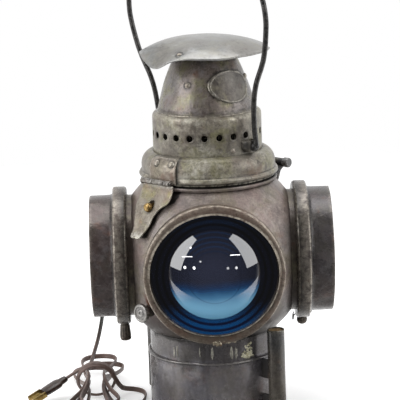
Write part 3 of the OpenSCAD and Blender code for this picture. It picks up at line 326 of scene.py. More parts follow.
materials = dict(
    body=agedMaterial("bodyEnamel", base=(124, 116, 113), warm=(136, 116, 110), olive=(130, 122, 98),
        pale=(164, 158, 150), edge=(178, 168, 152), warmAmount=0.75,
        stain=[(142, 102, 0.03, (60, 56, 55), 0.72), (94, 90.4, 0.004, (26, 24, 22), 0.9)]),
    base=agedMaterial("baseEnamel", base=(112, 110, 115), warm=(116, 109, 107), olive=(118, 113, 100),
        pale=(150, 148, 149), edge=(126, 123, 118), runAmount=0.65, paleAmount=0.75, gloss=0.2, matt=0.48,
        metallic=0.5, blotchAmount=0.35, oliveAmount=0.3, bump=0.25,
        stain=[(66, 70, 0.01, (70, 66, 62), 0.55), (86, 89.5, 0.006, (24, 22, 20), 0.85)]),
    band=agedMaterial("bandEnamel", base=(72, 66, 65), warm=(88, 72, 63), olive=(82, 77, 66), pale=(116, 110, 104),
        edge=(168, 160, 148), rustAmount=0.4, gloss=0.24, matt=0.48, blotchAmount=0.6),
    bezel=agedMaterial("bezelEnamel", base=(104, 92, 84), warm=(118, 96, 84), olive=(112, 104, 88),
        pale=(134, 124, 112), edge=(204, 194, 178), oliveAmount=0.3, rustAmount=0.35, gloss=0.26,
        stain=[(128, 98, 0.02, (62, 56, 48), 0.5)]),
    hood=agedMaterial("hoodEnamel", base=(76, 72, 73), warm=(88, 72, 66), olive=(80, 77, 68), pale=(112, 109, 112),
        edge=(150, 142, 134), gloss=0.22, matt=0.44, rustAmount=0.4, blotchAmount=0.6, runAmount=0.6,
        stain=[(156, 108, 0.03, (64, 61, 59), 0.4)]),
    neck=agedMaterial("neckEnamel", base=(74, 66, 61), warm=(82, 68, 60), pale=(104, 96, 88), edge=(120, 110, 100),
        rustAmount=0.4),
    lid=agedMaterial("lidEnamel", base=(116, 111, 102), warm=(112, 95, 82), olive=(130, 126, 94),
        pale=(184, 180, 167), edge=(190, 184, 168), paleAmount=1.0, runAmount=0.8, blotchAmount=1.0, oliveAmount=0.8),
    # the near-black band above the bead is painted shadow in the gap under the lid
    rim=agedMaterial("seamEnamel", base=(118, 110, 107), warm=(128, 112, 106), pale=(154, 148, 142),
        edge=(160, 152, 144), metallic=0.4, stain=[(243.9, 244.8, 0.001, (20, 18, 17), 0.95)]),
    chimney=agedMaterial("chimneyEnamel", base=(122, 119, 116), warm=(126, 110, 100), olive=(132, 128, 98),
        pale=(152, 151, 156), edge=(178, 170, 154), oliveAmount=0.8, runAmount=0.7, blotchAmount=0.7, gloss=0.24,
        matt=0.54, metallic=0.45),
    cap=agedMaterial("capSteel", base=(138, 139, 138), warm=(128, 122, 114), olive=(140, 137, 124),
        pale=(176, 178, 180), edge=(206, 206, 204), gloss=0.28, matt=0.5, metallic=0.5, rustAmount=0.2,
        runAmount=0.6, blotchAmount=0.35, bump=0.07, grain=0.4),
    socket=agedMaterial("socketSteel", base=(84, 84, 86), olive=(92, 88, 76), oliveAmount=0.25, warm=(84, 74, 62),
        pale=(112, 110, 102), edge=(150, 144, 128), runAmount=0.7, metallic=0.5, gloss=0.22, matt=0.5),
    plugRust=agedMaterial("plugRust", base=(150, 122, 88), warm=(126, 92, 60), olive=(150, 128, 92),
        pale=(180, 158, 122), edge=(180, 158, 122), rustAmount=0.5, gloss=0.5, matt=0.8, metallic=0.1,
        blotchAmount=0.2),
    hinge=agedMaterial("hingeIron", base=(52, 51, 53), warm=(66, 58, 52), pale=(88, 87, 86), edge=(128, 124, 120)),
    brass=agedMaterial("studBrass", base=(122, 90, 46), warm=(92, 66, 36), olive=(106, 84, 42), pale=(170, 140, 86),
        edge=(206, 176, 118), rust=(70, 48, 26), gloss=0.24, matt=0.5, metallic=0.8, blotchAmount=0.6),
    badge=agedMaterial("badgeMetal", base=(96, 93, 89), warm=(92, 84, 78), pale=(134, 131, 124),
        edge=(196, 190, 178), paleAmount=0.8, metallic=0.5, runAmount=0.5, blotchAmount=0.8),
    hasp=agedMaterial("haspSteel", base=(134, 127, 116), warm=(142, 122, 108), olive=(146, 142, 100),
        pale=(180, 176, 164), edge=(212, 208, 198), rustAmount=0.3, rust=(132, 92, 62), metallic=0.5, gloss=0.24,
        oliveAmount=0.7),
    wire=agedMaterial("bailWire", base=(34, 35, 37), warm=(46, 42, 40), olive=(44, 44, 38), pale=(66, 66, 66),
        edge=(84, 82, 80), gloss=0.24, matt=0.44, runAmount=0.1, rustAmount=0.15, rust=(74, 54, 42), blotchAmount=0.2),
    knob=agedMaterial("knobMetal", base=(136, 134, 133), warm=(120, 112, 104), olive=(130, 126, 112),
        pale=(170, 168, 166), edge=(196, 194, 190), metallic=0.6, gloss=0.28),
    screw=agedMaterial("screwIron", base=(54, 50, 47), warm=(74, 58, 46), olive=(66, 62, 48), pale=(84, 80, 75),
        edge=(122, 112, 100)),
    seal=agedMaterial("sealWire", base=(60, 56, 54), warm=(80, 64, 50), olive=(66, 62, 50), pale=(96, 92, 88),
        edge=(120, 114, 108), metallic=0.6),
    solder=agedMaterial("solderResidue", base=(176, 170, 138), warm=(166, 158, 112), olive=(150, 146, 96),
        pale=(232, 228, 202), edge=(232, 228, 204), warmAmount=0.9, paleAmount=1.0, gloss=0.4, matt=0.75, bump=0.8),
    bezelChip=agedMaterial("bezelResidue", base=(108, 98, 80), warm=(104, 76, 54), olive=(106, 98, 70),
        rust=(88, 52, 34), pale=(160, 152, 132), edge=(176, 168, 148), warmAmount=0.9, paleAmount=1.0, gloss=0.35,
        matt=0.7, blotchAmount=1.0, rustAmount=0.6),
    # the webs between base and fork sockets are made dark as painted shade
    shadedWeb=agedMaterial("webIronShade", base=(44, 42, 43), warm=(50, 46, 44), olive=(48, 46, 40), pale=(62, 60, 60),
        edge=(84, 80, 76), gloss=0.6, matt=0.85, metallic=0.0),
    holderSteel=agedMaterial("holderSteel", base=(128, 128, 128), warm=(120, 116, 108), olive=(124, 122, 110),
        pale=(160, 160, 158), edge=(190, 190, 188), metallic=0.8, gloss=0.25),
    holderBrass=agedMaterial("holderBrass", base=(176, 146, 84), warm=(150, 116, 62), olive=(160, 134, 74),
        pale=(206, 184, 128), edge=(226, 204, 148), rust=(96, 72, 40), metallic=0.9, gloss=0.22, rustAmount=0.1,
        blotchAmount=0.2),
    bulbMetal=agedMaterial("bulbMetal", base=(190, 186, 170), warm=(170, 160, 140), olive=(180, 176, 150),
        pale=(210, 208, 198), edge=(224, 222, 214), metallic=0.9, gloss=0.2, rustAmount=0.05, blotchAmount=0.1),
    latch=agedMaterial("latchSteel", base=(128, 121, 113), warm=(140, 120, 106), olive=(134, 128, 104),
        pale=(172, 166, 154), edge=(210, 202, 188), rustAmount=0.35, metallic=0.45, gloss=0.26, paleAmount=0.8,
        blotchAmount=0.7),
    barrel=agedMaterial("barrelSteel", base=(66, 64, 64), warm=(76, 67, 60), pale=(112, 110, 108),
        edge=(168, 164, 158), metallic=0.6, gloss=0.22, matt=0.42, rustAmount=0.3, blotchAmount=0.7),
    rivet=agedMaterial("rivetHeads", base=(142, 134, 124), warm=(120, 100, 84), pale=(184, 178, 166),
        edge=(206, 200, 188), metallic=0.4, gloss=0.26, matt=0.46),
    ear=agedMaterial("earIron", base=(42, 41, 40), warm=(58, 50, 44), pale=(72, 70, 66), edge=(112, 107, 98),
        gloss=0.36, matt=0.65, metallic=0.2),
    pinEnd=agedMaterial("pinEnds", base=(90, 90, 91), warm=(82, 76, 72), pale=(126, 126, 126), edge=(152, 150, 148),
        matt=0.5, metallic=0.5),
    drip=agedMaterial("solderDrip", base=(112, 110, 104), warm=(98, 92, 84), pale=(166, 163, 153),
        edge=(200, 197, 184), gloss=0.28, matt=0.6, paleAmount=1.0, metallic=0.4),
    gasket=plainMaterial("gasketRubber", (22, 22, 22), (38, 36, 34), 0.75),
    relief=plainMaterial("reliefRubber", (30, 28, 28), (48, 44, 42), 0.6),
    plug=plainMaterial("plugVinyl", (34, 23, 18), (54, 37, 28), 0.3, scale=180, bump=0.1),
    blade=plainMaterial("bladeBrass", (158, 136, 84), (118, 96, 54), 0.3, metallic=0.9, bump=0.1),
    blueGlass=glassMaterial("blueGlass", (10, 13, 28), (52, 56, 76), (0, 86, 150), (142, 214, 255), (10, 46, 100)),
    rearGlass=glassMaterial("rearGlass", (10, 13, 28), (52, 56, 76), (0, 86, 150), (116, 196, 236), (10, 46, 100),
        0.3),
    redGlass=glassMaterial("redGlass", (44, 4, 6), (84, 20, 22), (150, 22, 20), (214, 92, 80), (90, 10, 10), 0.3))
print("materials made")

# Floor, light and background


def cutMesh(bm, place, normal, **more):
    bmesh.ops.bisect_plane(bm, geom=bm.verts[:] + bm.edges[:] + bm.faces[:], plane_co=place, plane_no=normal, **more)


# A round floor that ends in front of the picture, with a painted shadow under the lamp seen only in reflections
floorShape = dict(radius=1.4, segments=96, frontEdge=-0.21, shadowBehind=0.15, shadowFrom=0.1, shadowTo=0.26, paintedShadow=0.9, glow=0.42)


def buildFloor(shape):
    mesh = bpy.data.meshes.new("floor")
    bm = bmesh.new()
    bmesh.ops.create_circle(bm, cap_ends=True, radius=shape["radius"], segments=shape["segments"])
    cutMesh(bm, (0, shape["frontEdge"], 0), (0, -1, 0), clear_outer=True)
    bm.to_mesh(mesh)
    bm.free()
    floor = bpy.data.objects.new("floor", mesh)
    bpy.context.scene.collection.objects.link(floor)
    material, tree, shader, place = newMaterial("paleFloor")
    path = addNode(tree, "ShaderNodeLightPath").outputs
    parts = axes(tree, place)
    # painted shadow: glossy rays see the floor go dark round the foot of the lamp
    behind = calc(tree, "POWER", calc(tree, "ADD", parts[1], shape["shadowBehind"]), 2.0)
    near = calc(tree, "SQRT", calc(tree, "MULTIPLY_ADD", parts[0], parts[0], behind))
    paintedShadow = ramp(tree, near, shape["shadowFrom"], shape["shadowTo"], shape["paintedShadow"], 0.0)
    paintedShadow = calc(tree, "MULTIPLY", path["Is Glossy Ray"], paintedShadow)
    keep = calc(tree, "SUBTRACT", 1.0, paintedShadow)
    seen = calc(tree, "MAXIMUM", path["Is Camera Ray"], path["Is Glossy Ray"])
    seen = calc(tree, "MULTIPLY", calc(tree, "MAXIMUM", seen, path["Is Transmission Ray"]), keep)
    pale = blendColors(tree, paintedShadow, (0.86, 0.86, 0.86, 1), (0.02, 0.02, 0.02, 1))
    setInputs(tree, shader, Base_Color=pale, Roughness=0.85, Emission_Color=(1, 1, 1, 1),
              Emission_Strength=calc(tree, "MULTIPLY", seen, shape["glow"]))
    mesh.materials.append(material)


# White to the camera; in mirrors and glass dark on the camera's side
worldLight = dict(plain=0.4, front=0.04, edge=(-0.32, -0.12))


def buildWorld(light):
    world = bpy.data.worlds.new("studio")
    world.use_nodes = True
    tree = world.node_tree
    path = addNode(tree, "ShaderNodeLightPath").outputs
    way = axes(tree, addNode(tree, "ShaderNodeTexCoord").outputs["Generated"])
    level = calc(tree, "SQRT", calc(tree, "MULTIPLY_ADD", way[0], way[0], calc(tree, "MULTIPLY", way[1], way[1])))
    facing = calc(tree, "DIVIDE", way[1], calc(tree, "MAXIMUM", level, 0.001))
    sides = ramp(tree, facing, *light["edge"], light["front"], 1.0)
    seen = calc(tree, "MAXIMUM", path["Is Glossy Ray"], path["Is Transmission Ray"])
    strength = calc(tree, "MULTIPLY_ADD", calc(tree, "SUBTRACT", sides, light["plain"]), seen, light["plain"])
    strength = calc(tree, "MAXIMUM", strength, path["Is Camera Ray"])
    sky = addNode(tree, "ShaderNodeBackground", Color=(1, 1, 1, 1), Strength=strength)
    tree.links.new(sky.outputs[0], tree.nodes["World Output"].inputs["Surface"])
    bpy.context.scene.world = world


softBoxes = dict(
    keyLeft=dict(at=(-1.587, -0.774, 1.02), size=(1.2, 1.96), power=22.5, roll=-10),
    keyRight=dict(at=(1.587, -0.774, 1.02), size=(1.2, 1.96), power=18.5, roll=10),
    topSheet=dict(at=(0.0, 0.25, 1.9), size=(1.4, 1.2), power=16),
    barLeft=dict(at=(-2.05, -2.05, 1.135), size=(0.95, 0.045), power=2.6, roll=9),
    barRight=dict(at=(1.7, -2.25, 1.18), size=(0.85, 0.045), power=2.3, roll=-10))

lampAim = (0, 0, 0.22)

# Small round lamps that show as spots in the front lens, each with its place across the dome, width and power;
# slope is how far the dome leans at its edge
spotLamps = dict(slope=0.648, away=3.0, toEye=(0, -0.98, 0.194), mirror=(0, -0.1, 0.165), lamps=[
    (-0.63, 0.20, 0.24, 2.0), (-0.43, 0.20, 0.24, 2.0), (0.305, 0.175, 0.22, 0.4), (0.49, 0.165, 0.22, 0.7),
    (-0.49, 0.62, 0.16, 0.7), (-0.29, 0.34, 0.16, 0.3)])


def placeLamp(name, at, size, power, shape="RECTANGLE", roll=0):
    data = bpy.data.lights.new(name, "AREA")
    data.shape = shape
    data.size = size[0]
    if shape == "RECTANGLE":
        data.size_y = size[1]
    data.energy = power
    lamp = bpy.data.objects.new(name, data)
    bpy.context.scene.collection.objects.link(lamp)
    lamp.visible_camera = False
    aim = Vector(lampAim) - Vector(at)
    turn = Matrix.Rotation(math.radians(roll), 4, "Z")
    lamp.matrix_world = Matrix.Translation(at) @ aim.to_track_quat("-Z", "Y").to_matrix().to_4x4() @ turn


def placeLights(boxes, spots):
    for name, box in boxes.items():
        placeLamp(name, box["at"], box["size"], box["power"], roll=box.get("roll", 0))
    toEye = Vector(spots["toEye"])
    for i, (across, up, wide, power) in enumerate(spots["lamps"]):
        normal = Vector((across * spots["slope"], 0, up * spots["slope"]))
        normal.y = -math.sqrt(1 - normal.x ** 2 - normal.z ** 2)
        way = 2 * normal.dot(toEye) * normal - toEye
        placeLamp("spot%d" % (i + 1), Vector(spots["mirror"]) + way * spots["away"], (wide, 0), power, "DISK")


buildFloor(floorShape)
buildWorld(worldLight)
placeLights(softBoxes, spotLamps)
print("stage and light set")

# Mesh helpers, all in millimetres until a piece is finished


def turnZ(azimuth):
    return Matrix.Rotation(math.radians(azimuth), 4, "Z")


def around(azimuth):
    return Matrix.Translation((0, 0, lensHeight)) @ turnZ(azimuth)


def port(azimuth):
    return around(azimuth) @ Matrix.Rotation(math.radians(90), 4, "Y")


def rounded(points, radius=0.6, steps=3, closed=False):
    shaped = []
    count = len(points)
    for i, point in enumerate(points):
        here = Vector(point[:2])
        r = point[2] if len(point) > 2 else radius
        if r == 0 or (not closed and i in (0, count - 1)):
            shaped.append(tuple(here))
            continue
        before, after = Vector(points[i - 1][:2]), Vector(points[(i + 1) % count][:2])
        cut = min(r, 0.45 * (before - here).length, 0.45 * (after - here).length)
        start, end = here + (before - here).normalized() * cut, here + (after - here).normalized() * cut
        for k in range(steps + 1):
            t = k / steps
            shaped.append(tuple((1 - t) ** 2 * start + 2 * t * (1 - t) * here + t * t * end))
    return shaped


def arcPoints(cx, cy, rx, ry, first, last, steps):
    angles = [math.radians(first + (last - first) * i / steps) for i in range(steps + 1)]
    return [(cx + rx * math.cos(a), cy + ry * math.sin(a)) for a in angles]


def lathe(outline, steps=160, closed=False):
    bm = bmesh.new()
    verts = [bm.verts.new((r, 0, z)) for r, z in outline]
    edges = [bm.edges.new(pair) for pair in zip(verts, verts[1:])]
    if closed:
        edges.append(bm.edges.new((verts[-1], verts[0])))
    bmesh.ops.spin(bm, geom=verts + edges, cent=(0, 0, 0), axis=(0, 0, 1), angle=math.tau, steps=steps, use_merge=True)
    bmesh.ops.remove_doubles(bm, verts=bm.verts, dist=0.001)
    bmesh.ops.recalc_face_normals(bm, faces=bm.faces)
    return bm


# A ring whose section is a closed outline
def ringMesh(outline, soft, corner, steps=160):
    return lathe(rounded(outline, soft, corner, closed=True), steps, closed=True)


# Distance from the axis, and the azimuth in degrees
def polar(co):
    return math.hypot(co.x, co.y), math.degrees(math.atan2(co.y, co.x)) % 360


# Turns all faces when they look inwards; "way" gives the way out at a point
def outwards(bm, way=lambda at: Vector((at.x, at.y, 0))):
    bm.normal_update()
    if sum(face.normal.dot(way(face.calc_center_median())) for face in bm.faces) < 0:
        bmesh.ops.reverse_faces(bm, faces=bm.faces)


def splitLong(bm, length, cuts):
    bmesh.ops.subdivide_edges(bm, edges=[e for e in bm.edges if e.calc_length() > length], cuts=cuts)


def wobble(bm, amount, size, seed):
    for vert in bm.verts:
        vert.co += noise.noise_vector(vert.co / size + Vector((seed, seed, seed))) * amount


def dent(bm, centre, radius, push):
    middle, push = Vector(centre), Vector(push)
    for vert in bm.verts:
        near = (vert.co - middle).length / radius
        if near < 1:
            vert.co += push * (1 - near * near) ** 2


# Lifts a piece into place, then gives it the waves and dents of old sheet metal
def weather(bm, waves, dents=(), lift=0):
    bm.transform(Matrix.Translation((0, 0, lift)))
    wobble(bm, *waves)
    for centre, radius, push in dents:
        dent(bm, centre, radius, push)


def joinMeshes(parts):
    bm = bmesh.new()
    for part in parts:
        mesh = bpy.data.meshes.new("part")
        part.to_mesh(mesh)
        part.free()
        bm.from_mesh(mesh)
        bpy.data.meshes.remove(mesh)
    return bm


edgeWear = dict(ridgeFrom=0.16, hollowFrom=0.2, hollowGain=0.6, hollowMost=0.7, spread=0.6, spreadWithin=3)


# Rubbed ridges, dark hollows and local rust, kept as attributes; "paint" may add to all three at a place
# what paint adds includes painted highlight and painted shade
def markEdges(bm, mesh, rim, rub, paint):
    bm.normal_update()
    bm.verts.index_update()
    bends = [sum(edge.calc_face_angle_signed(0) for edge in vert.link_edges) for vert in bm.verts]
    wear, grime = [], []
    for vert, bend in zip(bm.verts, bends):
        ridge = min(max(bend - edgeWear["ridgeFrom"], 0) * rub, 1)
        hollow = min(max(-bend - edgeWear["hollowFrom"], 0) * edgeWear["hollowGain"], edgeWear["hollowMost"])
        wear.append(max(rim, 0) if vert.is_boundary else ridge)
        grime.append(max(-rim, 0) if vert.is_boundary else hollow)
    for values in (wear, grime):
        before = list(values)
        for edge in bm.edges:
            if edge.calc_length() < edgeWear["spreadWithin"]:
                one, two = (vert.index for vert in edge.verts)
                values[one] = max(values[one], before[two] * edgeWear["spread"])
                values[two] = max(values[two], before[one] * edgeWear["spread"])
    rusty = [0.0] * len(wear)
    if paint:
        for vert in bm.verts:
            i = vert.index
            rubbedAndLit, dirtAndShade, rusty[i] = paint(vert.co)
            wear[i], grime[i] = max(wear[i], rubbedAndLit), max(grime[i], dirtAndShade)
    for name, values in (("wear", wear), ("grime", grime), ("rusty", rusty)):
        mesh.attributes.new(name, "FLOAT", "POINT").data.foreach_set("value", values)


def fade(value, full, none):
    return min(max((value - none) / (full - none), 0.0), 1.0)


# Turns a finished bmesh into an object that rides on its CAD body
def addPiece(name, bm, finish, body="body", replaced=(), thickness=0, subdivide=0, place=None, sharp=smoothAngle,
             rim=0.75, rub=1.1, paint=None):
    if place is not None:
        bm.transform(place)
    mesh = bpy.data.meshes.new(name)
    bm.to_mesh(mesh)
    markEdges(bm, mesh, rim, rub, paint)
    bm.free()
    mesh.transform(Matrix.Scale(mm, 4))
    mesh.shade_smooth()
    mesh.set_sharp_from_angle(angle=sharp)
    mesh.materials.append(materials[finish])
    piece = bpy.data.objects.new(name, mesh)
    bpy.context.scene.collection.objects.link(piece)
    if thickness:
        wall = piece.modifiers.new("wall", "SOLIDIFY")
        wall.thickness = thickness * mm
        wall.offset = -1
        wall.use_even_offset = True
    if subdivide:
        smooth = piece.modifiers.new("smooth", "SUBSURF")
        smooth.levels = smooth.render_levels = subdivide
    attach(piece, body)
    if replaced:
        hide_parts(*replaced)
    return piece


# Cord


def smoothPath(points, steps):
    path = []
    for i in range(len(points) - 1):
        a, b, c, d = (Vector(points[min(max(i + k, 0), len(points) - 1)]) for k in (-1, 0, 1, 2))
        for k in range(steps):
            s = k / steps
            path.append((2 * b + (c - a) * s + (2 * a - 5 * b + 4 * c - d) * s * s
                         + (3 * b - a - 3 * c + d) * s * s * s) / 2)
    return path + [Vector(points[-1])]


def carriedFrames(path, width):
    frames = []
    for i, point in enumerate(path):
        along = (path[min(i + 1, len(path) - 1)] - path[max(i - 1, 0)]).normalized()
        width = (width - along * width.dot(along)).normalized()
        frames.append((point, along, width, along.cross(width)))
    return frames


# Sweeps a closed section along a path without twist and closes both ends
def sweep(path, section, width):
    bm = bmesh.new()
    rings = []
    for point, along, across, thick in carriedFrames(path, Vector(width)):
        rings.append([bm.verts.new(point + (across * u + thick * v)) for u, v in section])
    count = len(section)
    for one, two in zip(rings, rings[1:]):
        for k in range(count):
            bm.faces.new((one[k], one[(k + 1) % count], two[(k + 1) % count], two[k]))
    bm.faces.new(list(reversed(rings[0])))
    bm.faces.new(rings[-1])
    bmesh.ops.recalc_face_normals(bm, faces=bm.faces)
    return bm


cordShape = dict(
    width=5.4, thick=2.7, groove=0.35, grooveWidth=0.75, swell=1.12, sectionPoints=20,
    drop=[(-84, 84, 145), (-88, 88, 144), (-96, 95, 139), (-105, 101, 127), (-111, 104, 108), (-116, 105, 86),
          (-120, 105, 64), (-124, 101, 48), (-128, 91, 37), (-131, 78, 30), (-133, 66, 27)],
    middle=(-125, 45), reach=88, waist=8, bulge=40, pitch=6, start=80, floor=2.75, lift=6.6, span=25, fan=6,
    turns=3.375, wrapWidth=19.6, wrapHeight=17, wrapStart=40, wrapPitch=9, wrapMiddle=19.75, wrapFrom=15, wrapTo=495,
    bight=[(-100, -26, 2.85), (-87, -8, 2.75), (-78, 11, 2.75), (-74, 29, 2.75), (-74, 44, 2.75), (-77.5, 54.5, 2.85),
           (-85.5, 58.5, 3.75), (-93.5, 55.5, 5.75), (-98.5, 48, 9.75), (-102, 43, 15.75)],
    tail=[(-144.6, 53.8, 28.45), (-149, 53.6, 25.45), (-153, 52, 23.25), (-157, 49.6, 21.45)])


def loopPoint(shape, f):
    a = math.radians(shape["start"] + f)
    reach = shape["reach"] * (1 + 0.06 * math.sin(math.radians(f / 2.6)))
    x = -math.sin(a) * (shape["waist"] + shape["bulge"] * math.cos(a) ** 2)
    y = reach * math.cos(a)
    turn = math.radians(shape["fan"] * math.cos(math.radians(f / 3)))
    midX, midY = shape["middle"]
    px, py = midX + x * math.cos(turn) - y * math.sin(turn), midY + x * math.sin(turn) + y * math.cos(turn)
    rise = shape["lift"] * math.exp(-((py - midY) / shape["span"]) ** 2)
    return Vector((px, py, shape["floor"] + shape["pitch"] * (shape["turns"] - f / 360) + rise))


def wrapPoint(shape, f):
    a = math.radians(f)
    return Vector((shape["middle"][0] + shape["wrapWidth"] * math.cos(a), shape["wrapStart"]
                   + shape["wrapPitch"] * f / 360, shape["wrapMiddle"] + shape["wrapHeight"] * math.sin(a)))


def cordRoute(shape):
    loops = [loopPoint(shape, f) for f in range(0, int(shape["turns"] * 360), 15)]
    wraps = [wrapPoint(shape, f) for f in range(shape["wrapFrom"], shape["wrapTo"] + 1, 20)]
    drop = smoothPath(shape["drop"], 3)
    return drop, loops + smoothPath(shape["bight"], 2) + wraps + smoothPath(shape["tail"], 2)


# Two round conductors side by side under one cover
def cordSection(shape):
    points = []
    for k in range(shape["sectionPoints"]):
        a = math.tau * k / shape["sectionPoints"]
        u, v = math.cos(a) * shape["width"] / 2, math.sin(a) * shape["thick"] / 2
        pinch = 1 - shape["groove"] * math.exp(-(u / shape["grooveWidth"]) ** 2)
        points.append((u, v * pinch * (shape["swell"] if abs(u) > 1 else 1)))
    return points


def cordMaterial():
    material, tree, shader, place = newMaterial("cordCover")
    grain = cloud(tree, place, 260, 5, 0.65)
    wide = cloud(tree, place, 28, 3)
    color = blendColors(tree, ramp(tree, wide, 0.35, 0.65), tone(84, 66, 60), tone(114, 94, 86))
    color = blendColors(tree, ramp(tree, grain, 0.5, 0.75, 0.0, 0.6), color, tone(62, 50, 48))
    color = blendColors(tree, ramp(tree, cloud(tree, place, 90, 6, 0.7), 0.62, 0.78, 0.0, 0.5), color,
                        tone(158, 146, 136))
    high = useGroup(tree, bandGroup, Vector=place, Low=0.04, High=0.075, Ragged=0.01)["Mask"]
    color = blendColors(tree, calc(tree, "MULTIPLY", high, 0.9), color, tone(64, 68, 64))
    setInputs(tree, shader, Base_Color=color, Roughness=ramp(tree, grain, 0.3, 0.7, 0.32, 0.52),
              Normal=bumps(tree, 0.25, 0.0005, grain), Specular_IOR_Level=0.45)
    return material


materials["cord"] = cordMaterial()


plugShape = dict(
    rings=[(0, 3.2, 2.0), (1, 4.2, 3.0), (4, 4.6, 3.4), (8, 5.2, 3.5), (10, 7.6, 3.8), (12, 8.4, 4.1),
           (20, 8.5, 4.1), (27, 8.1, 3.9), (29.4, 7.6, 3.4), (30, 6.6, 2.6)],
    grips=[14, 16.5, 19, 21.5, 24], gripAt=4.6, gripRadius=1.4, gripDepth=0.7,
    blade=(16, 1.5, 6.2), bladeAt=(37.5, 6.35 * 0.98), bladeEdge=0.35)


def buildPlug(shape, end, along):
    yaw = math.atan2(along.y, along.x)
    pitch = math.atan2(along.z, math.hypot(along.x, along.y))
    turn = Matrix.Translation(end) @ Matrix.Rotation(yaw, 4, "Z") @ Matrix.Rotation(-pitch, 4, "Y")
    bm = bmesh.new()
    loops = []
    for x, half, deep in shape["rings"]:
        ring = bmesh.ops.create_circle(bm, segments=40, radius=1, matrix=Matrix.Translation((x, 0, 0))
                                       @ Matrix.Rotation(math.pi / 2, 4, "Y") @ Matrix.Diagonal((deep, half, 1, 1)))
        loops.append(list({e for v in ring["verts"] for e in v.link_edges}))
    for one, two in zip(loops, loops[1:]):
        bmesh.ops.bridge_loops(bm, edges=one + two)
    bmesh.ops.holes_fill(bm, edges=[e for e in bm.edges if e.is_boundary])
    bmesh.ops.recalc_face_normals(bm, faces=bm.faces)
    for x in shape["grips"]:
        for side in (-1, 1):
            dent(bm, (x, 0, side * shape["gripAt"]), shape["gripRadius"], (0, 0, -side * shape["gripDepth"]))
    plug = addPiece("plugBody", bm, "plug", replaced=["plug_body"], place=turn)
    blades = bmesh.new()
    x, y = shape["bladeAt"]
    for side in (-1, 1):
        bmesh.ops.create_cube(blades, size=1, matrix=turn @ Matrix.Translation((x, side * y, 0))
                              @ Matrix.Diagonal((*shape["blade"], 1)))
    bmesh.ops.bevel(blades, geom=blades.edges[:], offset=shape["bladeEdge"], offset_type="OFFSET", affect="EDGES",
                    segments=2, profile=0.5, material=-1)
    pins = addPiece("plugBlades", blades, "blade", replaced=["plug_blades"])
    return plug, pins


def buildCord(shape):
    drop, hank = cordRoute(shape)
    path = smoothPath(drop + hank, 3)
    bm = sweep(path, cordSection(shape), (1, 1, 0))
    cord = addPiece("cord", bm, "cord", replaced=["cord_drop", "cord_hank"])
    end = Vector(shape["tail"][-1])
    along = (end - Vector(shape["tail"][-2])).normalized()
    plug, pins = buildPlug(plugShape, end, along)


buildCord(cordShape)
print("cord laid")

# Round shell with its four openings and small dents

shellShape = dict(
    radius=100, top=76, foot=-75, portRadius=60.9, rings=88, segments=200, wall=1.2, waves=(0.35, 24, 1.7),
    dents=[((30, -62, 232), 22, (0.5, 1.6, -1.0)), ((-66, -62, 132), 16, (0.9, 0.8, 0.4)),
           ((62, -66, 118), 20, (-0.9, 0.9, 0.6)), ((-60, 72, 200), 26, (1.2, -1.2, -0.4)),
           ((70, 60, 150), 22, (-1.2, -0.8, 0.3))],
    # the two side amounts are painted shade; the hasp edge bounds a painted shadow
    rustAt=(6, -31), rust=0.55, shadeBesideLeft=0.32, shadeBesideRight=0.08,
    haspEdge=[(2.4, 33), (4.3, 39), (8, 46), (8.8, 54), (13, 61.5), (20.4, 66.6), (21.4, 72), (21.2, 76)])


# Rust above the knob, painted shadow in the gap behind the hasp's edge, and painted shade towards the side bands
def shellPaint(co):
    along = turnZ(-frontLeft) @ (co - Vector((0, 0, lensHeight)))
    y, z = shellShape["rustAt"]
    rust = shellShape["rust"] * fade(math.hypot(along.y - y, (along.z - z) * 0.9), 6, 17)
    gap = 0
    # painted shadow in the gap behind the hasp's right edge
    if along.x > 0 and 33 < along.z < 76:
        points = shellShape["haspEdge"]
        for (y0, z0), (y1, z1) in zip(points, points[1:]):
            if z0 <= along.z < z1:
                edge = y0 + (y1 - y0) * (along.z - z0) / (z1 - z0)
                gap = fade(along.y, edge - 0.2, edge + 1.4) * fade(along.y, edge - 8, edge - 13)
    # painted shade on the shell towards the side bands
    shadeBeside = shellShape["shadeBesideLeft" if co.x < 0 else "shadeBesideRight"] * fade(abs(co.x), 84, 72)
    return 0, max(gap, shadeBeside), rust if along.x > 0 else 0


def buildShell(shape):
    radius, hole = shape["radius"], shape["portRadius"]
    foot, top = (math.degrees(math.asin(shape[end] / radius)) for end in ("foot", "top"))
    bm = lathe(arcPoints(0, 0, radius, radius, foot, top, shape["rings"]), shape["segments"])
    ways = [Vector((1, 0, 0)), Vector((0, 1, 0)), Vector((-1, 0, 0)), Vector((0, -1, 0))]
    gone = [vert for vert in bm.verts
            if any(vert.co.dot(way) > 0 and (vert.co - way * vert.co.dot(way)).length < hole for way in ways)]
    bmesh.ops.delete(bm, geom=gone, context="VERTS")
    for vert in [v for v in bm.verts if v.is_boundary and abs(v.co.z) < 66]:
        way = max(ways, key=vert.co.dot)
        offset = (vert.co - way * vert.co.dot(way)).normalized() * hole
        vert.co = way * math.sqrt(radius ** 2 - hole ** 2) + offset
    outwards(bm, lambda at: at)
    weather(bm, shape["waves"], shape["dents"], lensHeight)
    addPiece("bodyShell", bm, "body", replaced=["globe_shell"], thickness=shape["wall"], rim=-0.3,
             paint=shellPaint)


rimShape = dict(
    collar=[(64.5, 76), (64.5, 88), (63.3, 88), (63.3, 76)], beadRadius=2.2, beadAt=(66.9, 77.9), shelf=(64.4, 76),
    waves=(0.3, 30, 4))


def buildRim(shape):
    collar = ringMesh(shape["collar"], 0.4, 2)
    x, z = shape["beadAt"]
    r = shape["beadRadius"]
    inner, low = shape["shelf"]
    roll = arcPoints(x, z, r, r, -105, 150, 18)
    bead = lathe([(inner, low), (x - 0.8, low)] + roll + [(inner, z + 1.4)], closed=True)
    weather(bead, shape["waves"])
    addPiece("seamRim", joinMeshes([collar, bead]), "rim", replaced=["globe_rim"],
             place=Matrix.Translation((0, 0, lensHeight)), rub=0.1)


# Base

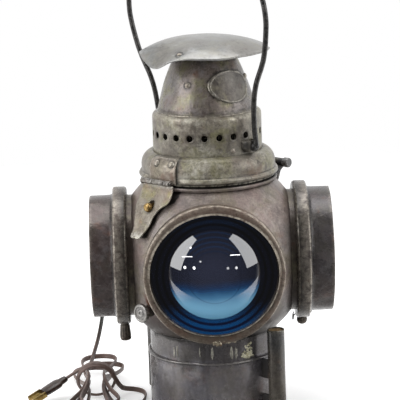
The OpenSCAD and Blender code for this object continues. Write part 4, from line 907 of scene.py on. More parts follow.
baseShape = dict(
    tube=[(63.8, 0), (63.8, 90), (65, 90), (65, 0)],
    sleeve=[(65.1, 0), (66.8, 0, 0.5), (66.8, 63.6, 0.8), (68.1, 64.3, 1.2), (68.1, 65.9, 1.0), (66.6, 66.6, 0.6),
            (65.1, 66.5, 0)],
    dents=[((-24, -62, 62), 16, (0.3, 2.2, 0)), ((40, -52, 30), 22, (-0.6, 1.4, 0)),
           ((-50, -40, 24), 20, (1.2, 0.9, 0)), ((-30, 58, 40), 24, (0.6, -1.6, 0)),
           ((60, 24, 50), 18, (-1.4, -0.4, 0))],
    waves=(0.3, 26, 2.3))


def buildBase(shape):
    tube = ringMesh(shape["tube"], 0.5, 2)
    sleeve = ringMesh(shape["sleeve"], 0.4, 3, 200)
    for bm, name, node in ((tube, "baseTube", "base_tube"), (sleeve, "baseSleeve", "base_sleeve")):
        splitLong(bm, 20, 14)
        weather(bm, shape["waves"], shape["dents"])
        addPiece(name, bm, "base", replaced=[node])


# Lens bands and hoods

bandShape = dict(
    frontRing=[(63.4, 98, 0), (64.6, 98.2, 0.5), (67.2, 98.2, 1.2), (69.4, 97.0, 1.6), (69.9, 93, 1.5), (69.6, 86, 2.0),
               (68.2, 84, 1.2), (61.6, 84, 0.3), (61.6, 85.2, 0.3), (68.45, 85.2, 0.3), (68.45, 92.5, 0.3),
               (63.5, 92.5, 0.4), (63.2, 96.4, 0.6)],
    squeeze=0.047, sink=(1.2, 1.0, 0), waves=(0.2, 22),
    sideRing=[(60.4, 97.6, 0.3), (62.4, 98, 0.5), (68.5, 98, 0.8), (70, 96.7, 0.6), (70, 86.0, 0.6), (68.5, 84.2, 0.8),
              (61.6, 84, 0.3), (61.6, 85.2, 0.3), (68.45, 85.2, 0.3), (68.45, 92.3, 0.3), (60.4, 92.3, 0.3)])

hoodShape = dict(
    outline=[(60.3, 98.05, 0), (64.0, 98.05, 0), (62.4, 98.8, 0.8), (61.6, 101, 1.0), (61.5, 112), (61.4, 121.1, 0.5),
             (61.0, 121.5, 0.3), (60.3, 121.4, 0.4)],
    grow={right: 1.028, left: 1.008}, waves=(0.3, 22),
    dents={right: [((121, 20, 215), 20, (0.2, -0.9, -1.3)), ((118, -42, 125), 18, (0, 1.2, 0.8))],
           left: [((-121, -30, 213), 20, (0, 1.0, -1.2)), ((-118, 30, 120), 20, (0, -0.9, 1.2))]})


# The front and back rings and lenses sit a little low and to one side
def sinkLens(bm):
    bm.transform(Matrix.Translation(bandShape["sink"]))


# Front and back rings: their inner lip is less tall than wide, rubbed bare with painted highlight above, darker below
def lipPaint(co):
    down, aside = bandShape["sink"][:2]
    across, up = co.x - math.copysign(aside, -co.y), co.z - lensHeight + down
    reach, inner = math.hypot(across, up), math.hypot(across, up / (1 - bandShape["squeeze"]))
    low = fade(up, -30, -8)
    # outer edge: rubbed bare and painted highlight
    outer = fade(reach, 69.3, 68.8) * fade(abs(co.y), 95, 93)
    lip = fade(inner, 64.9, 65.7) * fade(abs(co.y), 95, 93)
    # painted shade in the groove
    groove = fade(abs(inner - 66.3), 0.5, 1.2) * (1 - outer) * 0.25
    return max(lip * fade(up, 16, -6) * 1.3, outer * 0.9), max(lip * low * 0.5, groove), 0.3 * low * (1 - outer)


# Side bands: rubbed along the outer edge, painted shade in the gap where they meet the body, darker low down
def bandPaint(co):
    out, height = abs(co.x), co.z - lensHeight
    edge = max(fade(abs(out - 96.9), 0.6, 1.3), 0.7 * fade(abs(out - 85.6), 0.5, 1.1))
    edge *= fade(math.hypot(co.y, height), 69, 68)
    # painted shade in the gap against the body
    return 0.8 * edge, max(0.7 * fade(out, 86.8, 88.4), 0.35 * fade(height, -52, -30)), 0.25 * fade(height, -70, 20)


# Hoods: rubbed along the mouth, dirty at the band
def hoodPaint(co):
    out, height = abs(co.x), co.z - lensHeight
    return 0.5 * fade(out, 120.8, 119.8), max(0.6 * fade(out, 99.2, 101.5), 0.2 * fade(height, -40, 10)), 0.2


def buildBands(ring, hood):
    for azimuth, side in ports:
        sunk = azimuth in (front, back)
        bm = ringMesh(ring["frontRing"] if sunk else ring["sideRing"], 0.4, 3, 200)
        if sunk:
            for vert in bm.verts:
                if vert.co.z > 92:
                    vert.co.x *= 1 - ring["squeeze"] * fade(math.hypot(vert.co.x, vert.co.y), 64.5, 67.8)
            sinkLens(bm)
        wobble(bm, *ring["waves"], azimuth / 40)
        addPiece("band" + side.capitalize(), bm, "bezel" if sunk else "band", replaced=["band_" + side],
                 place=port(azimuth), rub=0.8 if sunk else 0.4, paint=lipPaint if sunk else bandPaint)
        if azimuth in hood["dents"]:
            bm = ringMesh(hood["outline"], 0.4, 2, 200)
            splitLong(bm, 6, 4)
            grow = hood["grow"][azimuth]
            bm.transform(port(azimuth) @ Matrix.Diagonal((grow, grow, 1, 1)))
            weather(bm, (*hood["waves"], 3 + azimuth / 50), hood["dents"][azimuth])
            addPiece("hood" + side.capitalize(), bm, "hood", replaced=["hood_" + side], paint=hoodPaint)


# Pressed lenses: smooth dome in front, stepped rings behind

lensShape = dict(rim=67.2, face=92.2, back=88.2, dome=44.7, rise=16, steps=6, inner=16, outer=60, deep=3.2)


def buildLenses(shape):
    curve = (shape["dome"] ** 2 + shape["rise"] ** 2) / (2 * shape["rise"])
    half = math.degrees(math.asin(shape["dome"] / curve))
    dome = arcPoints(0, shape["face"] + shape["rise"] - curve, curve, curve, 90, 90 - half, 40)
    pitch = (shape["outer"] - shape["inner"]) / shape["steps"]
    stairs = []
    for i in range(shape["steps"]):
        level = shape["back"] + shape["deep"] * (1 - i / shape["steps"])
        stairs += [(shape["inner"] + i * pitch, level, 0.25),
                   (shape["inner"] + (i + 1) * pitch - 0.6, shape["back"], 0.2)]
    face = [(shape["dome"] + 1.4, shape["face"], 0), (shape["rim"], shape["face"], 0.6),
            (shape["rim"], shape["back"], 0.6)]
    outline = dome + rounded(face + stairs[::-1] + [(0, shape["back"] + shape["deep"])], 0.3, 3)
    for azimuth, side in ports:
        glass = {front: "blueGlass", back: "rearGlass"}.get(azimuth, "redGlass")
        bm = lathe(outline, steps=180)
        radii = [math.hypot(vert.co.x, vert.co.y) for vert in bm.verts]
        if azimuth in (front, back):
            sinkLens(bm)
        lens = addPiece("lens" + side.capitalize(), bm, glass, replaced=["lens_" + side], place=port(azimuth),
                        sharp=math.radians(24))
        lens.data.attributes.new("lensRadius", "FLOAT", "POINT").data.foreach_set("value", radii)


# Lid: dome, vent ring, chimney and cap

lidShape = dict(
    dome=[(66.3, 81.3, 0), (67.2, 81.3, 0.3), (67.3, 83.4, 0.3), (68.6, 83.5, 0.6), (70.2, 84.6, 1.2),
          (70.3, 86.6, 1.3), (69.2, 88.2, 1.0), (67.8, 88.7, 0.5), (67.5, 89.6, 0.5), (67.5, 92.5, 2)],
    skirt=67.6, shoulder=(55.1, 94, 12.4, 14.5), wall=1.2, domeWaves=(0.35, 26, 5.2),
    domeDents=[((-20, -62, 262), 18, (0.2, 1.2, -0.3)), ((48, -40, 268), 16, (-0.7, 0.7, -0.5)),
               ((30, 58, 262), 20, (-0.5, -1.2, -0.4))],
    vent=(55, 105, 148, 5), holes=23, holeRadius=3.15, holeHeight=126.8, firstHole=-66.7, ventWaves=(0.3, 24, 8.1),
    chimneyFoot=148, chimneyHeight=56, chimneyCurve=(49.5, -0.1955, -0.002727), chimneyWaves=(0.4, 22, 6.4),
    patchAt=(256, 188), patch=0.45,
    chimneyDents=[((-32, -24, 334), 16, (0.9, 0.6, 0)), ((-6, -42, 322), 12, (0, 0.8, 0)),
                  ((10, 40, 330), 18, (-0.2, -1.3, 0))])

badgeShape = dict(
    half=(24, 15.5), azimuth=-54, level=175, waves=(0.18, 7, 5),
    profile=[(0, 0.75), (0.5, 0.72), (0.84, 0.7), (0.88, 0.82), (0.9, 1.15), (0.95, 1.35), (0.985, 1.2), (1.0, 0.7),
             (1.0, 0.03)])


def chimneyRadius(height):
    rise = height - lidShape["chimneyFoot"]
    foot, slope, bend = lidShape["chimneyCurve"]
    return foot + slope * rise + bend * rise * rise


# Painted shadow beside the latch leaf and under the roll; dirt along the dome's lower fold and at the vent ring's foot
def domePaint(co):
    (reach, azimuth), height = polar(co), co.z - lensHeight
    # painted shadow along both edges of the latch leaf
    shadeBeside = max(fade(abs(azimuth - 241.6), 0.6, 2.0), fade(abs(azimuth - 209.8), 0.6, 1.6))
    foot = fade(reach, 55.8, 57.6) * fade(height, 106, 104)
    # painted shadow in the gap under the roll
    gap = fade(height, 83.2, 83.8)
    roll = fade(abs(height - 86.2), 1.0, 2.2) * fade(reach, 69.4, 68.4)
    crease = fade(abs(height - 89.2), 0.3, 1.0)
    return roll * 0.3, max(shadeBeside * 0.8, foot * 0.75, gap * 1.2, crease * 0.4, roll * 0.22), 0.0


def buildDome(shape):
    skirt = shape["skirt"]
    bm = lathe(rounded(shape["dome"], 0.5, 3) + arcPoints(*shape["shoulder"], 0, 90, 20), steps=200)
    for vert in bm.verts:
        r, azimuth = polar(vert.co)
        flat = fade(abs(azimuth - frontLeft), 19, 23)
        if r > skirt and flat:
            keep = (skirt + (r - skirt) * (1 - flat)) / r
            vert.co.x, vert.co.y = vert.co.x * keep, vert.co.y * keep
    weather(bm, shape["domeWaves"], shape["domeDents"], lensHeight)
    outwards(bm)
    addPiece("lidDome", bm, "lid", body="lid", replaced=["lid_dome"], thickness=shape["wall"],
             paint=domePaint)


def buildVentRing(shape):
    radius, low, high, soft = shape["vent"]
    rows = [low, low + 4, 115.5, 120] + [shape["holeHeight"] + k * 3.4 for k in (-1, 0, 1)] + [134.5, 140]
    outline = [(radius, z) for z in rows] + arcPoints(radius - soft, high - soft, soft, soft, 0, 90, 6) + [(47.5, high)]
    stepsPerHole = 4
    bm = lathe(outline, steps=shape["holes"] * stepsPerHole)
    pitch = 360 / shape["holes"]
    for k in range(shape["holes"]):
        azimuth = math.radians(shape["firstHole"] - 90 + pitch * k)
        outward = Vector((math.cos(azimuth), math.sin(azimuth), 0))
        centre = outward * radius + Vector((0, 0, shape["holeHeight"]))
        hub = min(bm.verts, key=lambda v: (v.co - centre).length)
        shift = centre - hub.co
        rim = sorted({v for f in hub.link_faces for v in f.verts if v != hub}, key=lambda v: v.index)
        bmesh.ops.delete(bm, geom=[hub], context="VERTS")
        for vert in rim:
            out = vert.co + shift - centre
            spot = centre + (out - outward * out.dot(outward)).normalized() * shape["holeRadius"] * 1.06
            flat = Vector((spot.x, spot.y, 0)).normalized() * radius
            vert.co = Vector((flat.x, flat.y, spot.z))
    outwards(bm)
    weather(bm, shape["ventWaves"], lift=lensHeight)
    addPiece("ventRing", bm, "lid", body="lid", replaced=["vent_ring"], thickness=shape["wall"],
             subdivide=2, rim=-0.3, paint=lambda co: (0, 0.45 * fade(co.z - lensHeight, 105.5, 107), 0))


# A rusty patch left of the badge, dirt round the badge and at the foot, and darker under the cap
def chimneyPaint(co):
    azimuth, height = polar(co)[1], co.z - lensHeight
    perDegree = math.radians(chimneyRadius(height))
    patchAzimuth, patchHeight = lidShape["patchAt"]
    patch = lidShape["patch"] * fade(math.hypot((azimuth - patchAzimuth) * 0.8, height - patchHeight), 3, 11)
    wide, tall = badgeShape["half"]
    across = (azimuth - badgeShape["azimuth"] - 360) * perDegree
    ring = math.hypot(across / wide, (height - badgeShape["level"]) / tall)
    spot, level = residueShape["chimneyRivets"][0]
    head = math.hypot((azimuth - spot) * perDegree, height - level)
    ends = max(0.35 * fade(height, 149.2, 150.6), 0.4 * fade(height, 202, 196))
    return 0, max(0.8 * fade(ring, 1.03, 1.14), 0.85 * fade(head, 3.6, 5.2), ends), patch


def buildChimney(shape):
    steps, foot = 18, shape["chimneyFoot"]
    heights = [foot + shape["chimneyHeight"] * k / steps for k in range(steps + 1)]
    outline = [(chimneyRadius(z), z) for z in heights]
    wide = outline[0][0]
    bm = lathe([(wide + 1.6, foot + 0.2), (wide + 0.5, foot + 0.8)] + outline[1:], steps=160)
    weather(bm, shape["chimneyWaves"], shape["chimneyDents"], lensHeight)
    outwards(bm)
    addPiece("chimney", bm, "chimney", body="lid", replaced=["chimney"], thickness=shape["wall"],
             paint=chimneyPaint)


# Solder left at the foot of the body and on the front band, and the rivet heads of cap, chimney and vent ring
residueShape = dict(
    heaps=[dict(radius=65.2, seed=11, count=64, foot=(-66.5, -54.5), peak=-58, gather=0.55, low=69.6, high=83, bend=0),
           dict(radius=98, seed=5, count=34, foot=(-92, -78), peak=-86, gather=0, low=94.6, high=98, bend=0.0075)],
    drips=[(65.2, *spot) for spot in (
        (-93, 76, 1.3, 6.5), (-75.6, 75.4, 1.7, 6.4), (-71.6, 75.2, 1.4, 5.6), (-129, 75, 1.0, 6.0),
        (-126, 76, 0.7, 5.5), (-104, 77, 0.6, 4))],
    capRivet=(57.2, 243.4), capRivetSize=(2.4, 1.1), capRivetTilt=14, chimneyRivets=[(243.5, 177.6), (-13, 181)],
    chimneyRivetSize=(3.1, 2.0), ventRivets=[-64, 40, 120], ventRivetSize=(2.6, 1.7), ventRivetAt=(55, 113))

capShape = dict(radius=65.4, rim=208, rise=14, droop=12, droopAt=217, droopWidth=21, sagAt=285, sagWidth=26, sag=2.2,
                wall=1.1, rings=30, segments=160, waves=(0.5, 20, 9.3),
                creases=[(238, 8, 1.6), (262, 7, -1.3), (300, 9, 1.4), (335, 8, -1.2), (20, 10, 1.5), (70, 12, -1.4),
                         (120, 9, 1.3), (165, 10, -1.5), (205, 6, 1.0)])


def capHeight(shape, r, a):
    out = r / shape["radius"]
    swing = (a - shape["droopAt"]) / shape["droopWidth"]
    height = shape["rim"] + shape["rise"] * (1 - out ** 2.6) - shape["droop"] * out ** 3 * math.exp(-swing * swing)
    height -= shape["sag"] * out ** 4 * math.exp(-((a - shape["sagAt"]) / shape["sagWidth"]) ** 2)
    for at, width, amount in shape["creases"]:
        gap = (a - at + 180) % 360 - 180
        height += amount * 0.55 * out ** 5 * math.exp(-(gap / width) ** 2)
    return height


# Dirt round the rivet, and painted shade along the left edge
def capPaint(co):
    r, a = residueShape["capRivet"]
    a = math.radians(a)
    gap = math.hypot(co.x - r * math.cos(a), co.y - r * math.sin(a))
    reach, azimuth = polar(co)
    # painted shade along the left edge
    left = fade(abs(azimuth - 205), 18, 50) * fade(reach, 52, 30)
    return 0, max(0.8 * fade(abs(gap - 3.2), 0.5, 1.4), 0.16 * left), 0


def buildCap(shape):
    bm = lathe([(shape["radius"] * k / shape["rings"], 0) for k in range(shape["rings"] + 1)], shape["segments"])
    for vert in bm.verts:
        r, a = polar(vert.co)
        ragged = 1 - 0.012 * max(0, math.sin(math.radians(a * 7 + 40))) * (r / shape["radius"]) ** 6
        vert.co = Vector((vert.co.x * ragged, vert.co.y * ragged, capHeight(shape, r, a)))
    weather(bm, shape["waves"], lift=lensHeight)
    outwards(bm, lambda at: Vector((0, 0, 1)))
    addPiece("topCap", bm, "cap", body="lid", replaced=["top_cap"], thickness=shape["wall"],
             rim=0.3, paint=capPaint)


buildShell(shellShape)
buildRim(rimShape)
buildBase(baseShape)
buildBands(bandShape, hoodShape)
buildLenses(lensShape)
buildDome(lidShape)
buildVentRing(lidShape)
buildChimney(lidShape)
buildCap(capShape)
print("sheet metal and lenses built")

# Wires, plates and turned parts


def wireMesh(path, radius, resolution=5):
    data = bpy.data.curves.new("wire", "CURVE")
    data.dimensions = "3D"
    data.bevel_depth = radius
    data.bevel_resolution = resolution
    data.use_fill_caps = True
    spline = data.splines.new("POLY")
    spline.points.add(len(path) - 1)
    for point, spot in zip(spline.points, path):
        point.co = (*spot, 1)
    holder = bpy.data.objects.new("wire", data)
    bm = bmesh.new()
    bm.from_mesh(holder.to_mesh())
    holder.to_mesh_clear()
    bpy.data.objects.remove(holder)
    bpy.data.curves.remove(data)
    bmesh.ops.remove_doubles(bm, verts=bm.verts, dist=0.001)
    bmesh.ops.recalc_face_normals(bm, faces=bm.faces)
    return bm


def turned(outline, steps=48, soft=0.3):
    return lathe(rounded(outline, soft, 3), steps)


def flutes(bm, count, inner, depth, low, high):
    for vert in bm.verts:
        r = math.hypot(vert.co.x, vert.co.y)
        if r > inner and low < vert.co.z < high:
            grow = 1 + depth * math.cos(count * math.atan2(vert.co.y, vert.co.x)) / r
            vert.co.x *= grow
            vert.co.y *= grow


def outwardFrom(azimuth, x, y, z):
    return around(azimuth) @ Matrix.Translation((x, y, z)) @ Matrix.Rotation(math.pi / 2, 4, "Y")


def alongPin(azimuth, x, z):
    return around(azimuth) @ Matrix.Translation((x, 0, z)) @ Matrix.Rotation(-math.pi / 2, 4, "X")


def slices(bm, axis, low, high, count):
    normal = Vector((axis == 0, axis == 1, axis == 2))
    for k in range(1, count):
        cutMesh(bm, normal * (low + (high - low) * k / count), normal)


def barrelMesh(radius, low, high):
    return turned([(0, low), (radius, low), (radius, high), (0, high)], 32, 0.5)


def rivet(radius, height, place):
    bm = lathe([(0, height)] + arcPoints(0, 0, radius, height, 80, 0, 8) + [(radius, -0.6), (0, -0.6)], 28)
    bm.transform(place)
    return bm


# Latch: leaf wrapped over the lid's shoulder, its pin, and the hasp that hangs from it

latchShape = dict(
    skin=68.95, low=82.6, skirt=94, shoulder=(55.1, 94, 13.85, 15.95), top=61, span=(-17.2, 18.6), wall=1.25,
    corner=(62.5, 107.6), cornerCuts=[(0.62, 1.5), (1.4, 1.1)], waves=(0.25, 11, 3.3), pinAt=(71, 84), barrel=3.1,
    knuckles=[(-23.4, -8.1), (8.1, 15.0)], pin=(-24.1, 15.8, 1.3), rivetAngles=(219.6, 236.2), rivetSlope=33,
    rivetSize=(3.2, 2.1))


# Dirt round the rivet heads
def leafPaint(co):
    slope = math.radians(latchShape["rivetSlope"])
    cx, cy, rx, ry = latchShape["shoulder"]
    reach, height = cx + rx * math.cos(slope), lensHeight + cy + ry * math.sin(slope)
    angles = [math.radians(a) for a in latchShape["rivetAngles"]]
    spots = [Vector((math.cos(a) * reach, math.sin(a) * reach, height)) for a in angles]
    return 0, 0.7 * fade(min((co - spot).length for spot in spots), 3.5, 5.2), 0


def buildLatch(shape):
    cx, cy, rx, ry = shape["shoulder"]
    outline = [(shape["skin"], shape["low"] + (shape["skirt"] - shape["low"]) * k / 6) for k in range(6)]
    outline += arcPoints(cx, cy, rx, ry, 0, shape["top"], 18)
    bm = bmesh.new()
    verts = [bm.verts.new((r, 0, z)) for r, z in outline]
    edges = [bm.edges.new(pair) for pair in zip(verts, verts[1:])]
    start, end = (y / shape["skin"] for y in shape["span"])
    bmesh.ops.spin(bm, geom=verts + edges, cent=(0, 0, 0), axis=(0, 0, 1), angle=end - start, steps=36)
    bm.transform(around(frontLeft) @ Matrix.Rotation(start, 4, "Z"))
    reach, height = shape["corner"]
    for azimuth, lean in ((start, 1), (end, -1)):
        corner = math.radians(frontLeft) + azimuth
        away = Vector((-math.sin(corner), math.cos(corner), 0)) * lean
        tip = Vector((math.cos(corner) * reach, math.sin(corner) * reach, lensHeight + height))
        for slope, cut in shape["cornerCuts"]:
            normal = (Vector((0, 0, 1)) - away * slope).normalized()
            cutMesh(bm, tip - normal * cut, normal, clear_outer=True)
    weather(bm, shape["waves"])
    outwards(bm)
    addPiece("latchLeaf", bm, "latch", body="lid", replaced=["latch_leaf"], thickness=shape["wall"],
             paint=leafPaint)
    x, z = shape["pinAt"]
    knuckles = [barrelMesh(shape["barrel"], low, high) for low, high in shape["knuckles"]]
    addPiece("latchKnuckles", joinMeshes(knuckles), "barrel", body="lid", replaced=["latch_leaf"],
             place=alongPin(frontLeft, x, z))
    low, high, radius = shape["pin"]
    head = radius + 0.6
    bm = turned([(0, low - 0.5), (head, low - 0.5), (head, low + 0.4), (radius, low + 0.5), (radius, high - 0.5),
                 (head, high - 0.4), (head, high + 0.4), (0, high + 0.4)], 24, 0.2)
    addPiece("latchPin", bm, "barrel", body="lid", replaced=["latch_pin"], place=alongPin(frontLeft, x, z))
    slope = math.radians(shape["rivetSlope"])
    heads = []
    for azimuth in shape["rivetAngles"]:
        spot = (cx + rx * math.cos(slope), 0, cy + ry * math.sin(slope))
        place = around(azimuth) @ Matrix.Translation(spot) @ Matrix.Rotation(math.pi / 2 - slope * 0.92, 4, "Y")
        heads.append(rivet(*shape["rivetSize"], place))
    addPiece("latchRivets", joinMeshes(heads), "rivet", body="lid")


haspShape = dict(
    bend=[(71.2, 85), (73.2, 82), (73.7, 78), (76.4, 72.5), (80, 67.6), (83.6, 63), (87, 57.8), (90.4, 52),
          (93.6, 46.6), (96.6, 41.6), (100.2, 37.6), (103.4, 34.6), (104.2, 33.4)],
    edge=[(-20.6, 82.5, 0.5), (-20.8, 70, 4), (-19, 60, 8), (-14, 48, 6), (-11, 40, 5), (-9.6, 33.6, 2.5),
          (2.4, 33.6, 2.5), (4.3, 39, 5), (8, 46, 3), (8.8, 54, 5), (13, 61.5, 5), (20.4, 66.6, 3), (21.4, 72, 3),
          (21.2, 82.5, 0.5)],
    hole=(0, 62.6, 4.9, 5.6), rustAt=(-6, 48), rust=0.42, wall=1.3, crown=0.8, knuckle=7.6, barrel=3.1,
    waves=(0.3, 9, 7.7))


def haspReach(shape, height):
    points = shape["bend"]
    for (x0, z0), (x1, z1) in zip(points, points[1:]):
        if height >= z1:
            return x0 + (x1 - x0) * (z0 - height) / (z0 - z1)
    return points[-1][0]


# Bright tip, dirt round the hole and under the barrel
def haspPaint(co):
    along = turnZ(-frontLeft) @ (co - Vector((0, 0, lensHeight)))
    y, z, wide, tall = haspShape["hole"]
    ring = math.hypot((along.y - y) / wide, (along.z - z) / tall)
    rustY, rustZ = haspShape["rustAt"]
    rust = haspShape["rust"] * fade(math.hypot(along.y - rustY, along.z - rustZ), 2, 7)
    return 0.9 * fade(along.z, 36.5, 40), max(0.45 * fade(ring, 1.1, 1.5), 0.5 * fade(along.z, 81.5, 79)), rust


def buildHasp(shape):
    bm = bmesh.new()
    for loop in (rounded(shape["edge"], 1, 4, closed=True), arcPoints(*shape["hole"], 0, 348.75, 31)):
        verts = [bm.verts.new((0, y, z)) for y, z in loop]
        for one, two in zip(verts, verts[1:] + verts[:1]):
            bm.edges.new((one, two))
    bmesh.ops.triangle_fill(bm, use_beauty=True, edges=bm.edges[:])
    slices(bm, 2, 33.6, 82.5, 44)
    slices(bm, 1, -21, 22, 22)
    for vert in bm.verts:
        crown = shape["crown"] * math.cos(vert.co.y / 22 * math.pi / 2) * max(0, 1 - abs(vert.co.z - 60) / 30)
        vert.co.x = haspReach(shape, vert.co.z) + crown
    weather(bm, shape["waves"])
    outwards(bm, lambda at: Vector((1, 0, 0)))
    addPiece("haspPlate", bm, "hasp", body="hasp", replaced=["hasp"], thickness=shape["wall"],
             place=around(frontLeft), rim=0.25, paint=haspPaint)
    x, z = latchShape["pinAt"]
    knuckle = barrelMesh(shape["barrel"], -shape["knuckle"], shape["knuckle"])
    addPiece("haspKnuckle", knuckle, "barrel", body="hasp", replaced=["hasp"],
             place=alongPin(frontLeft, x, z))


studShape = dict(
    outline=[(0, 76), (3.2, 76), (3.2, 84.6, 0.6), (4.3, 85.6, 0.5), (4.3, 89.0, 0.9), (3.4, 90.2, 0.9), (0, 90.7)],
    height=62, waves=(0.15, 3, 2))


def buildStud(shape):
    bm = turned(shape["outline"], 40)
    weather(bm, shape["waves"])
    addPiece("latchStud", bm, "brass", replaced=["latch_stud"],
             place=outwardFrom(frontLeft, 0, 0, shape["height"]))


# Bail and its ears

bailShape = dict(
    leg=[(64.2, 0), (65.8, 0.6), (66.6, 2.4), (66.4, 8), (66.2, 18), (67.4, 34), (70, 50), (74, 63), (78.8, 73),
         (83, 81.5), (87, 91), (90.6, 104), (93, 117)],
    archRadius=94, archHeight=127, radius=2.65, height=116, lean=5, pinIn=57.6,
    eye=[(0, 63.15), (3.9, 63.15), (4.4, 63.8), (4.4, 66.4), (3.4, 67.4), (0, 67.8)],
    head=[(0, 57.3), (3.4, 57.3), (3.7, 57.8), (3.4, 58.9), (0, 58.9)])


def buildBail(shape):
    leg = [(x, 0, z) for x, z in shape["leg"]]
    other = [(-x, 0, z) for x, z in reversed(shape["leg"])]
    wide, pinIn = shape["archRadius"], shape["pinIn"]
    arch = [(x, 0, z) for x, z in arcPoints(0, shape["archHeight"], wide, wide, 0, 180, 24)]
    ends = [(pinIn, 0, 0), (61, 0, 0)], [(-61, 0, 0), (-pinIn, 0, 0)]
    path = smoothPath(ends[0] + leg + arch + other + ends[1], 5)
    for i, point in enumerate(path):
        path[i] = point + noise.noise_vector(point / 30) * (0.5 if point.z > 5 else 0)
    parts = [wireMesh(path, shape["radius"])]
    for side in (0, math.pi):
        for outline in (shape["eye"], shape["head"]):
            bm = turned(outline, 40)
            bm.transform(Matrix.Rotation(side, 4, "Z") @ Matrix.Rotation(math.pi / 2, 4, "Y"))
            parts.append(bm)
    lean = Matrix.Rotation(math.radians(shape["lean"]), 4, "X")
    place = around(frontRight) @ Matrix.Translation((0, 0, shape["height"])) @ lean
    addPiece("bail", joinMeshes(parts), "wire", body="bail", replaced=["bail"], place=place)


earShape = dict(
    outer=[(54.2, -8.2), (59.6, -7.9, 3), (63, -5.6, 3), (63, 5.6, 3), (59.6, 7.9, 3), (54.2, 8.2)],
    inner=[(54.2, 6.3), (58.6, 6, 2.5), (61.2, 4.2, 2.5), (61.2, -4.2, 2.5), (58.6, -6, 2.5), (54.2, -6.3)],
    height=116, half=6)


def buildEars(shape):
    parts = []
    for azimuth in (frontRight, backLeft):
        bm = bmesh.new()
        outline = rounded(shape["outer"], 1, 4) + rounded(shape["inner"], 1, 4)
        base = bm.faces.new([bm.verts.new((x, y, -shape["half"])) for x, y in outline])
        grown = bmesh.ops.extrude_face_region(bm, geom=[base])["geom"]
        grown = [v for v in grown if isinstance(v, bmesh.types.BMVert)]
        bmesh.ops.translate(bm, verts=grown, vec=(0, 0, 2 * shape["half"]))
        bmesh.ops.recalc_face_normals(bm, faces=bm.faces)
        rims = [e for e in bm.edges if abs(e.verts[0].co.z - e.verts[1].co.z) < 0.01]
        bmesh.ops.bevel(bm, geom=rims, offset=0.5, offset_type="OFFSET", affect="EDGES", segments=2, profile=0.5,
                        material=-1)
        slices(bm, 2, -5, 5, 8)
        for vert in bm.verts:
            fall = max(0.0, (-vert.co.z - 1) / 5.6)
            rise = max(0.0, (vert.co.z - 4) / 5)
            vert.co.y *= math.sqrt(max(0.12, 1 - fall * fall * 0.75 - rise * rise * 0.4))
        bmesh.ops.triangulate(bm, faces=[f for f in bm.faces if len(f.verts) > 4])
        bm.transform(around(azimuth) @ Matrix.Translation((0, 0, shape["height"])))
        parts.append(bm)
    addPiece("bailEars", joinMeshes(parts), "ear", body="lid", replaced=["bail_ears"])


# Hinge pin, knob and thumb screws

turnedShape = dict(
    hingePin=[(0, -22), (4.1, -22, 0.8), (5.1, -21.2, 0.8), (5.1, -15.5, 0.5), (2, -15.3, 0), (2, 15.3, 0),
              (5.1, 15.5, 0.5), (5.1, 17.6, 0.8), (4.1, 18.4, 0.8), (0, 18.4)],
    hingeAt=(98, 79), strap=[(83, 56.4), (90.5, 60.5), (96.5, 75.2)], strapAcross=[-13, -6.5, 0, 6.5, 13],
    strapWall=2.0,
    knob=[(0, 103.2), (1.3, 103.2), (1.8, 103.9), (3.3, 103.9), (3.9, 103.2), (6.4, 103.2), (7.0, 103.95),
          (8.3, 103.95), (9.1, 103.5), (9.3, 102.8), (9.3, 100.5), (8.8, 99.8), (6.6, 99.6), (6.6, 98.6), (0, 98.6)],
    knobHeight=-42.6, knobFlutes=(36, 8.9, 0.32, 99.9, 103.3), knobWaves=(0.12, 3, 1),
    screwLeft=[(0, 0.2), (2, 0.2, 0), (2, 0, 0), (3.9, -0.1), (4.4, -0.6), (4.4, -2.3), (4.1, -2.9), (4.6, -3.5),
               (5.1, -8), (5.5, -12), (5.7, -14.4), (5.4, -15), (5.9, -15.6), (6.0, -17.2, 0.8), (5.2, -18.8, 1.2),
               (3.2, -19.4, 0.8), (0, -19.4)],
    leftFlutes=(12, 3.9, 0.16, -16, -3.4), leftWaves=(0.2, 5, 4), leftDents=[((5.2, 0, -17.6), 4, (-0.9, 0, 0.6))],
    screwRight=[(0, 0.4), (2, 0.4, 0), (2, 0.2, 0), (4.3, 0.1), (4.7, -0.4), (4.7, -1.2)],
    rightBall=(0, -4.4, 5.15, 5.1, 38, -90, 14), rightFlutes=(20, 3.6, 0.22, -8.4, -1.3), screwAt=(91, 0, -70.2))


# Strap that carries the hinge barrel away from the body
def buildHingeStrap(shape):
    bm = bmesh.new()
    across = shape["strapAcross"]
    rows = [[bm.verts.new((x, y, z)) for y in across] for x, z in rounded(shape["strap"], 4, 4)]
    for one, two in zip(rows, rows[1:]):
        for k in range(len(across) - 1):
            bm.faces.new((one[k], one[k + 1], two[k + 1], two[k]))
    bm.transform(around(backRight))
    outwards(bm)
    addPiece("hingeStrap", bm, "hinge", thickness=shape["strapWall"])


def buildTurned(shape):
    x, z = shape["hingeAt"]
    pin = turned(shape["hingePin"], 40)
    addPiece("hingePin", pin, "pinEnd", replaced=["hinge_pin"], place=alongPin(backRight, x, z))
    buildHingeStrap(shape)
    knob = turned(shape["knob"], 144)
    flutes(knob, *shape["knobFlutes"])
    weather(knob, shape["knobWaves"])
    addPiece("wickKnob", knob, "knob", body="wick_knob", replaced=["wick_knob"],
             place=outwardFrom(frontLeft, 0, 0, shape["knobHeight"]))
    leftScrew = turned(shape["screwLeft"], 72)
    flutes(leftScrew, *shape["leftFlutes"])
    weather(leftScrew, shape["leftWaves"], shape["leftDents"])
    rightScrew = turned(shape["screwRight"] + arcPoints(*shape["rightBall"]), 80)
    flutes(rightScrew, *shape["rightFlutes"])
    for bm, azimuth, side in ((leftScrew, left, "Left"), (rightScrew, right, "Right")):
        name = "thumb_screw_" + side.lower()
        addPiece("thumbScrew" + side, bm, "screw", body=name, replaced=[name],
                 place=around(azimuth) @ Matrix.Translation(shape["screwAt"]))


